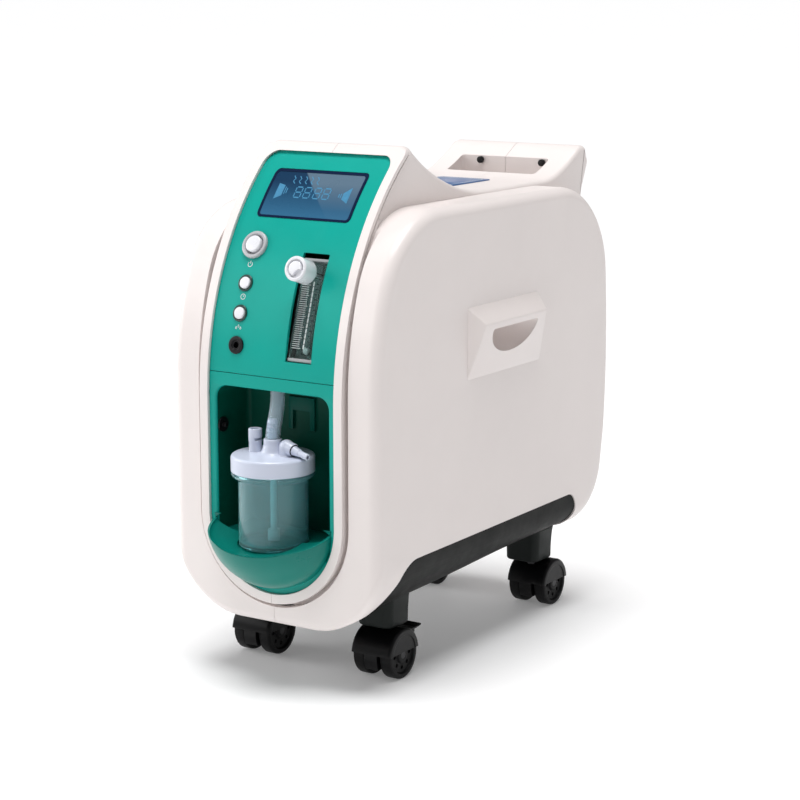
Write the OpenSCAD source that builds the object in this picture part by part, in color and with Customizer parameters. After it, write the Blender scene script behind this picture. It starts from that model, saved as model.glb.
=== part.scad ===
// Oxygen concentrator on twin-wheel casters, millimetres.
// +Z up, the front faces -Y, X = 0 is the plane of symmetry, and the floor is Z = 0.

/* [Body] */
// Width over the two side shells
body_w = 250; // [246:1:254]
// Depth of the front panel's flat part from the object's centre
face_y = -223; // [-225:1:-221]
// Height where the front panel starts to lean back
lean_z = 290; // [284:2:296]
// Radius of the leaning part of the front panel
lean_r = 308; // [300:2:316]
// Height of the flat top of the side shells
shell_top = 478; // [474:1:480]
// Height of the crest above the control panel
crest_z = 537; // [534:1:540]
// Wall thickness of the housings
wall = 3; // [2.4:0.2:3.6]

/* [Front panel] */
// Half width of the teal panels
panel_hw = 76.3; // [75:0.1:77.5]
// Height of the seam between the control panel and the bay panel
seam_z = 315; // [313:1:318]
// Height of the centre of the round lower end
round_z = 172.4; // [170:0.2:175]
// Height of the top edge of the control panel
panel_top = 528; // [524:1:530]
// Width of the white rim around the panels
rim_w = 10; // [8:0.5:11]

/* [Humidifier] */
// Outside radius of the bottle
bottle_r = 35; // [33:0.5:36]
// Outside radius of the screw cap
cap_r = 42; // [40.5:0.5:43]
// Height of the underside of the bottle
bottle_z = 145.5; // [144:0.5:147]
// Height of the flat top of the cap
cap_top = 239; // [238:1:241]

/* [Casters] */
// Radius of the caster wheels
wheel_r = 25; // [24:0.5:26]
// Sideways distance of the caster stems from the centre
caster_x = 76; // [74:1:78]
// Depth of the front caster stems
caster_front_y = -123; // [-126:1:-120]
// Depth of the rear caster stems
caster_rear_y = 168; // [165:1:171]

/* [Hidden] */

gap = 0.3;                          // gap between neighbouring pieces
fit = 0.05;                         // radial clearance of a running fit
half_w = body_w / 2;
edge_r = 12;                        // rounding between the side faces and the rest
lean_y = face_y + lean_r;           // centre of the leaning arc
rim_out = 3;                        // how far the rim stands proud of the panels
rim_hw = panel_hw + rim_w;          // half width of the rim
groove = 2.2;                       // width of the shadow groove around the rim
front_y = face_y + 1.5;             // front plane of the side shells
rear_y = 254;                       // rear plane of the side shells
shell_low = 61;                     // lowest point of the front apron
belly_z = 90;                       // underside of the base tub
tub_top = 134;                      // upper edge of the tub where it shows at the side
side_low = 141;                     // where the flat side face starts to curl under
rear_low = 97;                      // underside of the shells at the rear
rear_curl = 22;                     // radius of that underside towards the side
spine_hw = 84;                      // half width of the central spine
saddle_y = [50, 188];               // flat stretch of the saddle
saddle_z = 481.5;                   // height of the saddle
crest_r = 10;                       // rounding of the crest
handle_z = 514;                     // height of the carry handle
handle_y = 256;                     // front edge of the handle's top
tail_y = 273;                       // rearmost point of the handle
slot_hw = 57;                       // half width of the handle slot
slot_y = [199, 226];                // centres of the slot's round corners
slot_low = 448;                     // bottom of the slot
bay_hw = 68.5;                      // half width of the humidifier bay
bay_top = 301.5;
bay_low = 139;
bay_back = -169;                    // front of the bay's back wall
bay_wall = 2.5;
bottle_y = face_y + 2.5;            // depth of the bottle's axis
bottle_wall = 1.8;
flange_z = 218;                     // underside of the bottle's flange
neck_r = 37.5;
outlet_x = 17;                      // sideways place of the oxygen outlet
outlet_turn = 15;                   // turn of its nozzle towards the front
outlet_droop = 9.5;                 // slope of its nozzle below level
tray_z = 165;                       // height of the tray's rim at the panel
tray_hw = 71.3;                     // half width of the tray
tray_out = 53;                      // how far the tray bulges out
tray_deep = 62;                     // depth of the tray's bulge under its rim
tray_tilt = 19;                     // forward slope of the tray's rim
grip_y = [-57.3, 93];               // ends of the side grips at their lower edge
grip_z = [297, 374];                // lower and upper edges of the side grips
grip_ridge_z = 356;                 // height of the ridge where the grips stand out most
grip_out = 17;                      // how far the grips stand out
grip_taper = 10;                    // slope of the grips' ends
key_x = -45;                        // column of the buttons
power_z = 439;
timer_z = 403;
mist_z = 374;
jack_z = 343;
power_r = 8.8;
key_r = 6;
flow_x = 31;                        // centre line of the flowmeter
flow_hw = 15.5;
flow_z = [332, 436];                // ends of the flowmeter window
flow_mid = 384;
flow_tilt = 17.7;                   // the flowmeter leans as the panel does at mid height
knob_z = 417;
knob_r = 12.4;
float_r = 4.2;
display_hw = 56.5;
display_z = [466, 511];
display_mid = 489;
trail = 12;                         // offset of the wheels from the stem
wheel_w = 14;
wheel_x = 16;                       // sideways offset of each wheel of a pair
hood_r = wheel_r + 2.8;
axle_r = 4;
stem_r = 5.4;
foot_z = wheel_r + hood_r + 1.2;    // underside of the feet
rear_z = [150, 402];                // flat field around the rear openings
grille_z = [194, 292];
door_z = [306, 396];
hinge_z = door_z[0] + 5;
screw_z = [185, 285, 375];
rear_hw = 56;                       // half width of the rear grille and door
inlet_x = -30;
breaker_x = 32;
socket_z = 171;
deck_z = 98;
fan_z = 236;
bed_x = 46;
bed_y = -98;

teal = [0.13, 0.72, 0.62];
white = [0.93, 0.91, 0.90];
cream = [0.85, 0.86, 0.88];
grey = [0.55, 0.55, 0.56];
dark = [0.14, 0.16, 0.15];
black = [0.04, 0.04, 0.04];
steel = [0.70, 0.71, 0.72];
blue = [0.20, 0.45, 0.75];
clear = [0.75, 0.90, 0.95, 0.5];

// ---------- helpers ----------

// Points on an arc, from angle a to angle b in n steps
function arc(c, r, a, b, n) =
    [for (i = [0 : n]) let (t = a + (b - a) * i / n) c + r * [cos(t), sin(t)]];

// Lean of the front panel at height z
function lean(z) = z > lean_z ? asin((z - lean_z) / lean_r) : 0;

// Depth of the front panel at height z
function panel_y(z) = z > lean_z ? lean_y - lean_r * cos(lean(z)) : face_y;

// Stands its children on the front panel at height z, local +Z outward and local +Y up the panel
module on_panel(x, z) {
    translate([x, panel_y(z), z]) rotate([90 - lean(z), 0, 0]) children();
}

// Extrudes a depth-height outline along X
module side_extrude(x0, x1) {
    translate([x0, 0, 0]) rotate([90, 0, 90]) linear_extrude(x1 - x0) children();
}

// Extrudes a width-height outline along Y
module front_extrude(y0, y1) {
    translate([0, y1, 0]) rotate([90, 0, 0]) linear_extrude(y1 - y0) children();
}

module box(x, y, z) {
    translate([x[0], y[0], z[0]]) cube([x[1] - x[0], y[1] - y[0], z[1] - z[0]]);
}

module bar_x(x0, x1, r, sides = 64) {
    translate([x0, 0, 0]) rotate([0, 90, 0]) cylinder(h = x1 - x0, r = r, $fn = sides);
}

module bar_y(y0, y1, r, sides = 64) {
    translate([0, y1, 0]) rotate([90, 0, 0]) cylinder(h = y1 - y0, r = r, $fn = sides);
}

module bar_z(z0, z1, r, sides = 64) {
    translate([0, 0, z0]) cylinder(h = z1 - z0, r = r, $fn = sides);
}

module tube_z(z0, z1, ro, ri) {
    difference() {
        bar_z(z0, z1, ro);
        bar_z(z0 - 1, z1 + 1, ri);
    }
}

module rounded(x, y, r) {
    hull() for (sx = [-1, 1], sy = [-1, 1])
        translate([sx * (x / 2 - r), sy * (y / 2 - r)]) circle(r, $fn = 32);
}

// A layer of the front, from `out` before the panel surface to `deep` behind it
module panel_layer(out, deep, hw, low, high) {
    if (low < lean_z)
        box([-hw, hw], [face_y - out, face_y + deep], [low, min(lean_z, high)]);
    if (high > lean_z)
        intersection() {
            translate([0, lean_y, lean_z]) difference() {
                bar_x(-hw, hw, lean_r + out, 240);
                bar_x(-hw - 1, hw + 1, lean_r - deep, 240);
            }
            box([-hw, hw], [face_y - out - 1, lean_y - 20], [max(lean_z, low), high]);
        }
}

// Front view of the panels grown by g: round below, with rounded corners at the top
module panel_outline(g, top) {
    hull() {
        translate([0, round_z]) circle(panel_hw + g, $fn = 96);
        for (s = [-1, 1]) translate([s * (panel_hw + g - 13), top - 13]) circle(13, $fn = 48);
    }
}

module window_outline(hw, z, r, g = 0) {
    translate([0, (z[0] + z[1]) / 2]) rounded(2 * (hw + g), z[1] - z[0] + 2 * g, r);
}

// ---------- side shells ----------

// Height of the shells' underside at sideways place x, at the front and at the rear
function curl(r, x) = r - sqrt(max(0, r * r - pow(max(0, x - half_w + r), 2)));
function low_front(x) = shell_low + curl(side_low - shell_low, x);
function low_rear(x) = rear_low + curl(rear_curl, x);

// Outline of a shell in a plane x = constant, drawn d inside the outer surface
function shell_outline(x, d) =
    let (i = d + curl(edge_r, x), flat = [front_y + 325, 300], knee = flat + 223 * [cos(160), sin(160)],
         top_r = 107, back = [rear_y - 1012, 285], low_r = 60,
         zf = low_front(x) + d + edge_r, zr = low_rear(x) + d + low_r)
    concat(arc(flat, 325 - i, 180, 160, 5),
           arc([knee[0], shell_top - 102], 102 - i, 160, 90, 8),
           arc([rear_y - top_r - 4, shell_top - top_r], top_r - i, 90, 8, 8),
           arc(back, 1012 - i, 4, -5, 4),
           [for (a = [-12 : -13 : -90]) [rear_y - 9 - low_r + (low_r - i) * cos(a), zr + low_r * sin(a)]],
           [for (a = [-90 : -30 : -180]) [front_y + edge_r + (edge_r - i) * cos(a), zf + edge_r * sin(a)]]);

// One convex half of the body, from the centre to the +X side
module shell_solid(d) {
    hull() for (x = [0, 53, 72, 87, 98, 107, 113, 117, 120.5, 123.5, half_w])
        translate([x > d ? x - d : 0, 0, 0]) rotate([90, 0, 90])
            linear_extrude(0.01) polygon(shell_outline(x, d));
}

// Direction and centre of the crest's rounding, and the sweep from it down to the saddle
crest_a = 180 - asin((crest_z - crest_r - lean_z) / (lean_r + rim_out - crest_r));
crest = [lean_y, lean_z] + (lean_r + rim_out - crest_r) * [cos(crest_a), sin(crest_a)];
sweep_drop = crest[1] - saddle_z;
sweep_r = (pow(saddle_y[0] - crest[0], 2) / (crest_r + sweep_drop) - crest_r + sweep_drop) / 2;
sweep_a = atan2(crest[1] - saddle_z - sweep_r, crest[0] - saddle_y[0]) + 360;

// The leaning front at radius r, from its foot up to the crest
function front_arc(r) = arc([lean_y, lean_z], r, 180, crest_a, 20);

// Side view of the central spine with its crest, saddle and carry handle
function spine_outline(d) =
    let (sweep = [saddle_y[0], saddle_z + sweep_r])
    concat(front_arc(lean_r + rim_out - d),
           arc(crest, crest_r - d, crest_a - 10, sweep_a - 180, 5),
           [for (p = arc(sweep, sweep_r + d, sweep_a, 270, 9)) if (p[0] > crest[0] + 8) p],
           [[saddle_y[1], saddle_z - d], [handle_y - 4, handle_z - 1.6 - d]],
           arc([handle_y + 4, handle_z - 10], 10 - d, 105, 40, 3),
           arc([tail_y - 10, handle_z - 19], 10 - d, 35, -18, 3),
           [[rear_y + 3 - d, 456], [rear_y - 4 - d, 430], [rear_y - 8 - d, 300], [-150, 240]]);

// A layer of the rim, from `out` before the panel surface to `deep` behind it
module rim_layer(out, deep, low) {
    side_extrude(-1, 100) polygon(concat([[face_y - out, low]], front_arc(lean_r + out),
        [for (i = [20 : -1 : 0]) front_arc(lean_r - deep)[i]], [[face_y + deep, low]]));
}

module spine_solid(d) {
    intersection() {
        side_extrude(0, spine_hw - d) polygon(spine_outline(d));
        front_extrude(face_y - 20, tail_y + 5) panel_outline(spine_hw - panel_hw - d, crest_z - d);
    }
}

// Side view of what the base tub fills
module tub_outline() {
    polygon(concat([[-217, 40], [-217, 75], [-212, 85], [-203, 92], [-193, 99]],
        arc([-149, tub_top - 31], 31, 158, 90, 5), arc([161, tub_top - 16], 17.5, 85, -62, 8),
        [[157, belly_z - 6], [157, 40]]));
}

module handle_slot(g, z0) {
    hull() for (s = [-1, 1], y = slot_y)
        translate([s * (slot_hw - 4), y, z0]) cylinder(h = 560 - z0, r = 4 + g, $fn = 32);
}

// Side view of a grip's outline on the side face, grown by g
module grip_outline(g) {
    offset(delta = g) polygon([[grip_y[0], grip_z[0]], [grip_y[1], grip_z[0]],
                               [grip_y[1] - 6, grip_z[1]], [grip_y[0], grip_z[1]]]);
}

// Depth of the bulging rear face at height z
function rear_face(z) = rear_y - 1012 + sqrt(1012 * 1012 - pow(z - 285, 2));

module rear_openings(left) {
    for (z = [grille_z, door_z])
        box([-rear_hw, rear_hw], [rear_y - 20, rear_y + 20], z);
    if (left)
        box([-inlet_x - 24.3, -inlet_x + 24.3], [rear_y - 30, rear_y + 20], [socket_z - 14.3, socket_z + 14.3]);
    else
        translate([breaker_x, 0, socket_z]) bar_y(rear_y - 40, rear_y + 20, 5.2);
    for (z = screw_z) translate([80, 0, z]) bar_y(rear_y - 30, rear_y + 20, 3.7, 24);
}

// Front view of the rim with g around it, down to the given height
module rim_outline(g) {
    intersection() {
        panel_outline(rim_w + g, crest_z + 60);
        translate([0, 40]) square([120, 600]);
    }
}

// Inner flange that carries the rim and closes the groove
module collar() {
    intersection() {
        rim_layer(12, 9, 40);
        front_extrude(face_y - 20, 0) rim_outline(groove + wall);
    }
}

// Right half, or the mirrored left half before it is flipped
module half_housing(left) {
    difference() {
        union() {
            difference() {
                shell_solid(0);
                // shadow groove around the rim
                intersection() {
                    rim_layer(12, 6, 40);
                    front_extrude(face_y - 20, 0) rim_outline(groove);
                }
            }
            spine_solid(0);
            // raised rim and its backing
            intersection() {
                rim_layer(rim_out, 3, 70);
                front_extrude(face_y - 20, 0) panel_outline(rim_w, crest_z);
                box([0, 100], [-300, 0], [60, crest_z]);
            }
            intersection() {
                rim_layer(1, 7, 71);
                front_extrude(face_y - 20, 0) rim_outline(-0.6);
                box([0, 100], [-300, 0], [60, shell_top - 8]);
            }
            // flat field that carries the rear openings
            box([0, 66], [rear_y - 14, rear_y + 0.5], rear_z);
        }
        difference() {
            shell_solid(wall);
            collar();
            box([-1, 66], [rear_y - 14, rear_y + 1], rear_z);
        }
        spine_solid(wall);
        // opening for the two teal panels
        front_extrude(face_y - 20, -60) panel_outline(gap, panel_top);
        side_extrude(-1, half_w + 5) tub_outline();
        side_extrude(half_w - 20, half_w + 5) grip_outline(-5);
        handle_slot(0, slot_low);
        rear_openings(left);
        box([-1, gap / 2], [-400, 400], [0, 600]);
    }
    // the well around the handle slot
    intersection() {
        difference() {
            handle_slot(2.4, slot_low - 3);
            handle_slot(0, slot_low);
        }
        side_extrude(gap / 2, spine_hw - wall) polygon(spine_outline(wall / 2));
    }
}

module housing_right() { color(white) half_housing(false); }

module housing_left() { color(white) mirror([1, 0, 0]) half_housing(true); }

// Dark tub that carries everything and shows as the convex flanks under the side shells
module base_tub() {
    color(dark) difference() {
        intersection() {
            union() {
                shell_solid(1.2);
                mirror([1, 0, 0]) shell_solid(1.2);
            }
            side_extrude(-half_w, half_w) offset(delta = -0.4) tub_outline();
            box([-half_w, half_w], [-200, 180], [belly_z, tub_top + 5]);
        }
        box([-98, 98], [-186, 158], [belly_z + 4, 200]);
        for (sx = [-1, 1], y = [caster_front_y, caster_rear_y])
            translate([sx * caster_x, y, 0]) bar_z(80, 100, 5);
    }
}

// Flared columns under the tub that hold the caster stems
module foot(x, y, shift) {
    difference() {
        translate([x - 4.5 * sign(x), y + shift, 0]) hull() {
            translate([0, 0, foot_z]) linear_extrude(1) rounded(41, 41, 9);
            translate([0, 0, belly_z - 0.4]) linear_extrude(0.3) rounded(45, 44, 9);
        }
        translate([x, y, 0]) bar_z(foot_z - 1, belly_z + 1, stem_r + fit);
    }
}

module caster_feet() {
    color(dark) for (sx = [-1, 1]) {
        foot(sx * caster_x, caster_front_y, -8);
        foot(sx * caster_x, caster_rear_y, 0);
    }
}

// ---------- front panels ----------

module control_panel() {
    color(teal) difference() {
        intersection() {
            panel_layer(0, 3, 90, seam_z + gap, panel_top);
            front_extrude(face_y - 20, 0) panel_outline(0, panel_top - gap);
        }
        front_extrude(face_y - 20, 0) window_outline(display_hw, display_z, 5, 0.2);
        box([flow_x - flow_hw, flow_x + flow_hw], [face_y - 20, -100], flow_z);
        on_panel(key_x, power_z) bar_z(-12, 12, 12.8);
        for (z = [timer_z, mist_z]) on_panel(key_x, z) bar_z(-12, 12, key_r + 0.9);
        on_panel(key_x, jack_z) bar_z(-12, 12, 7.2);
    }
}

// Lower panel with the recessed bay, its back wall bracket and the hole for the hose
module bay_panel() {
    color(teal) difference() {
        union() {
            intersection() {
                panel_layer(0, 3, 90, 70, seam_z - gap);
                front_extrude(face_y - 20, 0) panel_outline(0, panel_top);
            }
            intersection() {
                box([-bay_hw - bay_wall, bay_hw + bay_wall], [face_y + 2.5, bay_back + bay_wall],
                    [bay_low - bay_wall, bay_top + bay_wall]);
                front_extrude(face_y, -100) panel_outline(-1, panel_top);
            }
        }
        front_extrude(face_y - 20, bay_back) intersection() {
            union() {
                window_outline(bay_hw, [bay_low + 20, bay_top], 13);
                translate([-bay_hw, bay_low]) square([2 * bay_hw, 60]);
            }
            panel_outline(-1 - bay_wall, panel_top);
        }
        translate([0, bottle_y, 0]) bar_z(bay_top - 5, bay_top + 9, 8.3);
        translate([0, -212.6, 259.3]) bar_x(-bay_hw - 9, -bay_hw + 3, 6.3);
    }
    color(teal) difference() {
        box([-16, 16], [bay_back - 3, bay_back + 0.5], [254, 287.5]);
        box([-10.5, 10.5], [bay_back - 4, bay_back], [250, 273.5]);
    }
}

module tray_bowl(x, y, z, sides) {
    translate([0, face_y, tray_z]) scale([x, y, z]) sphere(1, $fn = sides);
}

// Scoop-shaped tray that bulges out of the panel and seats the bottle
module bottle_tray() {
    color(teal) difference() {
        union() {
            intersection() {
                tray_bowl(tray_hw, tray_out, tray_deep, 56);
                box([-80, 80], [face_y - 60, face_y - 0.1], [90, tray_z]);
            }
            intersection() {
                box([-bay_hw + gap, bay_hw - gap], [face_y - 0.2, bay_back - 0.4], [bay_low + gap, tray_z - 14]);
                front_extrude(face_y - 1, -100) panel_outline(-1.4 - bay_wall, panel_top);
            }
        }
        // the rim slopes down to the front
        translate([0, face_y, tray_z]) rotate([tray_tilt, 0, 0]) box([-90, 90], [-90, 0], [0, 60]);
        // shallow dish
        translate([0, face_y, tray_z]) rotate([tray_tilt, 0, 0])
            scale([tray_hw - 3, tray_out * 1.03, 13]) sphere(1, $fn = 48);
        // hollow under the dish
        intersection() {
            tray_bowl(tray_hw - 3, tray_out - 3, tray_deep - 3, 40);
            box([-80, 80], [face_y - 60, face_y + 1], [90, bay_low - 3]);
        }
        translate([0, bottle_y, 0]) bar_z(bottle_z - 0.4, 200, bottle_r + 1.4, 96);
    }
}

module display_window() {
    color(blue) intersection() {
        panel_layer(0.4, 2, 70, display_z[0] - 5, display_z[1] + 5);
        front_extrude(face_y - 20, 0) window_outline(display_hw, display_z, 5);
    }
}

module display_module() {
    color(grey) on_panel(0, display_mid) {
        box([-55, 55], [-29, 29], [-11, -5.2]);
        box([-58, 58], [-32, 32], [-13, -11]);
        for (sx = [-1, 1], sy = [-1, 1]) translate([sx * 54, sy * 28.5, 0]) bar_z(-20, -13, 2.5);
    }
}

// Controller circuit board with its taller parts
module control_board() {
    color([0.05, 0.35, 0.2]) on_panel(0, 405) box([-62, 62], [-46, 52], [-33.6, -32]);
    color(black) on_panel(0, 405) {
        for (x = [-50 : 20 : 50]) translate([x, -34, 0]) bar_z(-46, -33.6, 6);
        box([-20, 12], [0, 24], [-38, -33.6]);
        box([-56, -34], [10, 44], [-52, -33.6]);
        for (i = [0 : 3]) box([20 + 9 * i, 26 + 9 * i], [20, 46], [-44, -33.6]);
        for (z = [-28, 20]) box([key_x - 7, key_x + 7], [z - 5, z + 5], [-32, -24]);
    }
}

module power_button_ring() {
    color(grey) on_panel(key_x, power_z) {
        tube_z(0.5, 3.4, 14.4, power_r + 0.4);
        tube_z(-5, 0.6, 12.6, power_r + 0.4);
    }
}

module button(x, z, r, top) {
    on_panel(x, z) {
        bar_z(-9, top - 0.8, r);
        translate([0, 0, top - 0.8]) cylinder(h = 0.8, r1 = r, r2 = r - 0.8, $fn = 64);
        bar_z(-13, -9, r * 0.5);
    }
}

module power_button() { color(white) button(key_x, power_z, power_r, 6.2); }

module timer_button() { color(white) button(key_x, timer_z, key_r, 3.4); }

module mist_button() { color(white) button(key_x, mist_z, key_r, 3.4); }

// Dark collars around the two small buttons
module key_rings() {
    color([0.02, 0.4, 0.33]) for (z = [timer_z, mist_z])
        on_panel(key_x, z) {
            tube_z(0.2, 1.3, key_r + 2.2, key_r + 0.35);
            tube_z(-4, 0.3, key_r + 0.8, key_r + 0.35);
        }
}

// Round socket for an accessory plug
module accessory_jack() {
    color(black) on_panel(key_x, jack_z) difference() {
        union() {
            bar_z(0.3, 1.8, 9.2);
            bar_z(-18, 0.4, 7);
            bar_z(-8, -5, 9);
        }
        bar_z(-14, 3, 3.2);
    }
}

// Oxygen test port on the left wall of the bay
module bay_socket() {
    translate([0, -212.6, 259.3]) {
        color(black) {
            bar_x(-bay_hw, -bay_hw + 2, 7.6);
            bar_x(-bay_hw - 7, -bay_hw + 0.1, 6.1);
        }
        color(steel) bar_x(-bay_hw + 1.9, -bay_hw + 5.5, 2.4);
    }
}

// ---------- flowmeter ----------

// Stands its children in front of the flowmeter at height z, local +Z outward
module on_flow(z) {
    translate([flow_x, panel_y(z), z]) rotate([90 - flow_tilt, 0, 0]) children();
}

// Clear block with the float bore, its dark backing channel and the valve bore
module flowmeter_body() {
    difference() {
        union() {
            color(clear) on_flow(flow_mid) box([-9, 9], [-50, 50], [-24, -9]);
            color(black) on_flow(flow_mid) box([-15, 15], [-51, 51], [-27, -23.9]);
            color(black) on_flow(flow_mid) for (s = [-1, 1])
                box([s * 12 - 3, s * 12 + 3], [-51, 51], [-24, -9.5]);
        }
        on_flow(flow_mid) translate([0, 0, -16]) rotate([-90, 0, 0]) bar_z(-43, 24, float_r + 0.35);
        on_flow(knob_z) bar_z(-21, 10, 3 + fit);
    }
}

module flow_float() {
    color(black) on_flow(flow_mid) translate([0, -38.4, -16]) sphere(float_r, $fn = 48);
}

module flow_knob() {
    color(white) on_flow(knob_z) difference() {
        union() {
            bar_z(-19, 8, 3);
            bar_z(6, 10, 9.5);
            translate([0, 0, 9]) cylinder(h = 19.8, r1 = knob_r - 0.5, r2 = knob_r, $fn = 64);
            translate([0, 0, 28.7]) cylinder(h = 1.3, r1 = knob_r, r2 = knob_r - 1.4, $fn = 64);
        }
        tube_z(27, 31, knob_r - 2.6, 6.8);
    }
}

// ---------- humidifier ----------

module bottle() {
    r = bottle_r;
    color(clear) translate([0, bottle_y, 0]) rotate_extrude($fn = 96) difference() {
        polygon([[0, bottle_z + 1.5], [r - 6, bottle_z + 1.5], [r - 4.5, bottle_z], [r - 1.5, bottle_z],
                 [r, bottle_z + 2], [r, flange_z - 7], [r + 2, flange_z - 3], [cap_r, flange_z],
                 [cap_r, flange_z + 3.4], [neck_r, flange_z + 3.4], [neck_r, flange_z + 10], [0, flange_z + 10]]);
        polygon([[-1, bottle_z + 3.6], [r - 6, bottle_z + 3.6], [r - bottle_wall, bottle_z + 5],
                 [r - bottle_wall, flange_z - 5], [neck_r - 2, flange_z - 1], [neck_r - 2, 300], [-1, 300]]);
    }
}

// Screw cap with the centre port and its barb
module bottle_cap() {
    color(cream) translate([0, bottle_y, 0]) {
        difference() {
            union() {
                bar_z(flange_z + 3.9, cap_top - 1.5, cap_r);
                translate([0, 0, cap_top - 1.6]) cylinder(h = 1.6, r1 = cap_r, r2 = cap_r - 1.6, $fn = 96);
                translate([0, 0, cap_top - 0.2]) cylinder(h = 7, r1 = 12, r2 = 8.4, $fn = 64);
                bar_z(cap_top + 6, cap_top + 15, 8.4);
                bar_z(cap_top + 14, cap_top + 35, 4.6);
                for (i = [0 : 3]) translate([0, 0, cap_top + 18 + 4 * i])
                    cylinder(h = 3, r1 = 5.3, r2 = 4.5, $fn = 48);
            }
            bar_z(flange_z, cap_top - 3, neck_r + 0.4);
            bar_z(flange_z, cap_top + 40, 2.2);
            for (x = [-21.5, outlet_x]) translate([x, 0, 0]) bar_z(flange_z, cap_top + 5, 2.4);
        }
    }
}

module cap_seal() {
    color([0.8, 0.3, 0.2]) translate([0, bottle_y, 0])
        tube_z(flange_z + 10.3, cap_top - 3.1, neck_r - 0.2, neck_r - 4);
}

// Dip tube with its bubble diffuser
module dip_tube() {
    color(cream) translate([0, bottle_y, 0]) {
        tube_z(bottle_z + 16, cap_top - 3.1, 3.2, 2);
        difference() {
            bar_z(bottle_z + 6, bottle_z + 16.1, 6);
            for (a = [0 : 60 : 300]) rotate([0, 0, a]) translate([3.5, 0, 0]) bar_z(bottle_z + 5, bottle_z + 12, 0.9);
        }
    }
}

module relief_valve() {
    color(cream) translate([-21.5, bottle_y, 0]) {
        bar_z(cap_top - 3, cap_top + 0.5, 2.3);
        bar_z(cap_top + 0.2, cap_top + 12, 5.6);
        difference() {
            bar_z(cap_top + 9, cap_top + 23, 7);
            box([2, 9], [-9, 9], [cap_top + 11.5, cap_top + 14]);
            bar_z(cap_top + 19, cap_top + 24, 4);
        }
    }
}

// Outlet with the stepped nozzle that takes the user's oxygen tube
module outlet_elbow() {
    color(cream) translate([outlet_x, bottle_y, cap_top]) difference() {
        union() {
            bar_z(-3, 0.5, 2.3);
            bar_z(0.05, 8, 7.8);
            translate([0, 0, 8]) sphere(7.8, $fn = 48);
            translate([0, 0, 8.5]) rotate([0, 90 + outlet_droop, -outlet_turn]) {
                bar_z(0, 13, 5.4);
                translate([0, 0, 13]) cylinder(h = 7.5, r1 = 4.6, r2 = 3.2, $fn = 48);
                bar_z(20.4, 32.3, 3.2);
                translate([0, 0, 32.3]) cylinder(h = 0.7, r1 = 3.2, r2 = 2.8, $fn = 48);
            }
        }
        translate([0, 0, 8.5]) rotate([0, 90 + outlet_droop, -outlet_turn]) bar_z(2, 36, 1.7);
        translate([-outlet_x, 0, -0.1]) cylinder(h = 7.2, r1 = 12.3, r2 = 8.7, $fn = 64);
        translate([-outlet_x, 0, 0]) bar_z(6, 20, 8.7);
    }
}

module supply_hose() {
    color(clear) translate([0, bottle_y, 0]) tube_z(cap_top + 15.3, bay_top + 6, 7.6, 5.7);
}

// ---------- outside trim ----------

module saddle_plate() {
    color(blue) translate([0, 97.5, saddle_z + 0.05]) linear_extrude(1.1) rounded(64, 93, 4);
}

// Lifting grip with a finger scoop, on the +X side
module grip() {
    out = half_w + grip_out;
    difference() {
        union() {
            hull() {
                side_extrude(half_w + 0.05, half_w + 0.6) grip_outline(0);
                side_extrude(out - 0.5, out) translate([grip_y[0] + grip_taper, grip_ridge_z - 1])
                    square([grip_y[1] - grip_y[0] - 2 * grip_taper - 6, 2]);
            }
            side_extrude(half_w - 27, half_w + 0.1) grip_outline(-5.6);
        }
        // finger scoop
        hull() {
            for (y = [-18, 50]) translate([0, y, 332]) bar_x(half_w - 6, out + 5, 12, 32);
            for (y = [-12, 44]) translate([0, y, 342]) bar_x(half_w - 24, half_w - 10, 15, 32);
        }
    }
}

module grip_right() { color(white) grip(); }

module grip_left() { color(white) mirror([1, 0, 0]) grip(); }

module rear_grille() {
    color(grey) difference() {
        union() {
            box([-rear_hw + gap, rear_hw - gap], [rear_y - 7, rear_y - 3.5], [grille_z[0] + gap, grille_z[1] - gap]);
            for (z = [grille_z[0] + 3, grille_z[1] - 3])
                box([-rear_hw + gap, rear_hw - gap], [rear_y - 7, rear_y + 0.4], [z - 2.7, z + 2.7]);
            for (x = [-rear_hw + 3, rear_hw - 3])
                box([x - 2.7, x + 2.7], [rear_y - 7, rear_y + 0.4], [grille_z[0] + gap, grille_z[1] - gap]);
        }
        for (z = [grille_z[0] + 13 : 9.4 : grille_z[1] - 12], s = [-1, 1])
            translate([s * 25.5, rear_y - 5, z]) cube([43, 12, 5], center = true);
    }
}

// Hinged cover of the intake filter, which swings down about its lower edge
module filter_door() {
    color(white) difference() {
        union() {
            box([-rear_hw + 0.6, rear_hw - 0.6], [rear_y - 6, rear_y + 0.2], [hinge_z, door_z[1] - 0.6]);
            for (s = [-1, 1]) translate([s * 34, rear_y - 4, hinge_z]) bar_x(-9, 9, 3);
        }
        for (z = [door_z[0] + 20 : 9 : door_z[1] - 26])
            box([-44, 44], [rear_y - 12, rear_y + 4], [z, z + 4]);
        translate([0, rear_y + 9, door_z[1] - 9]) bar_x(-18, 18, 13);
        for (s = [-1, 1]) {
            translate([s * 34, rear_y - 4, hinge_z]) bar_x(-10, 10, 1.5 + fit);
            for (t = [-1, 1]) box([s * 34 + t * 12 - 2.2, s * 34 + t * 12 + 2.2],
                                  [rear_y - 12, rear_y - 1.4], [hinge_z - 5, hinge_z + 4]);
        }
    }
}

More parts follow.
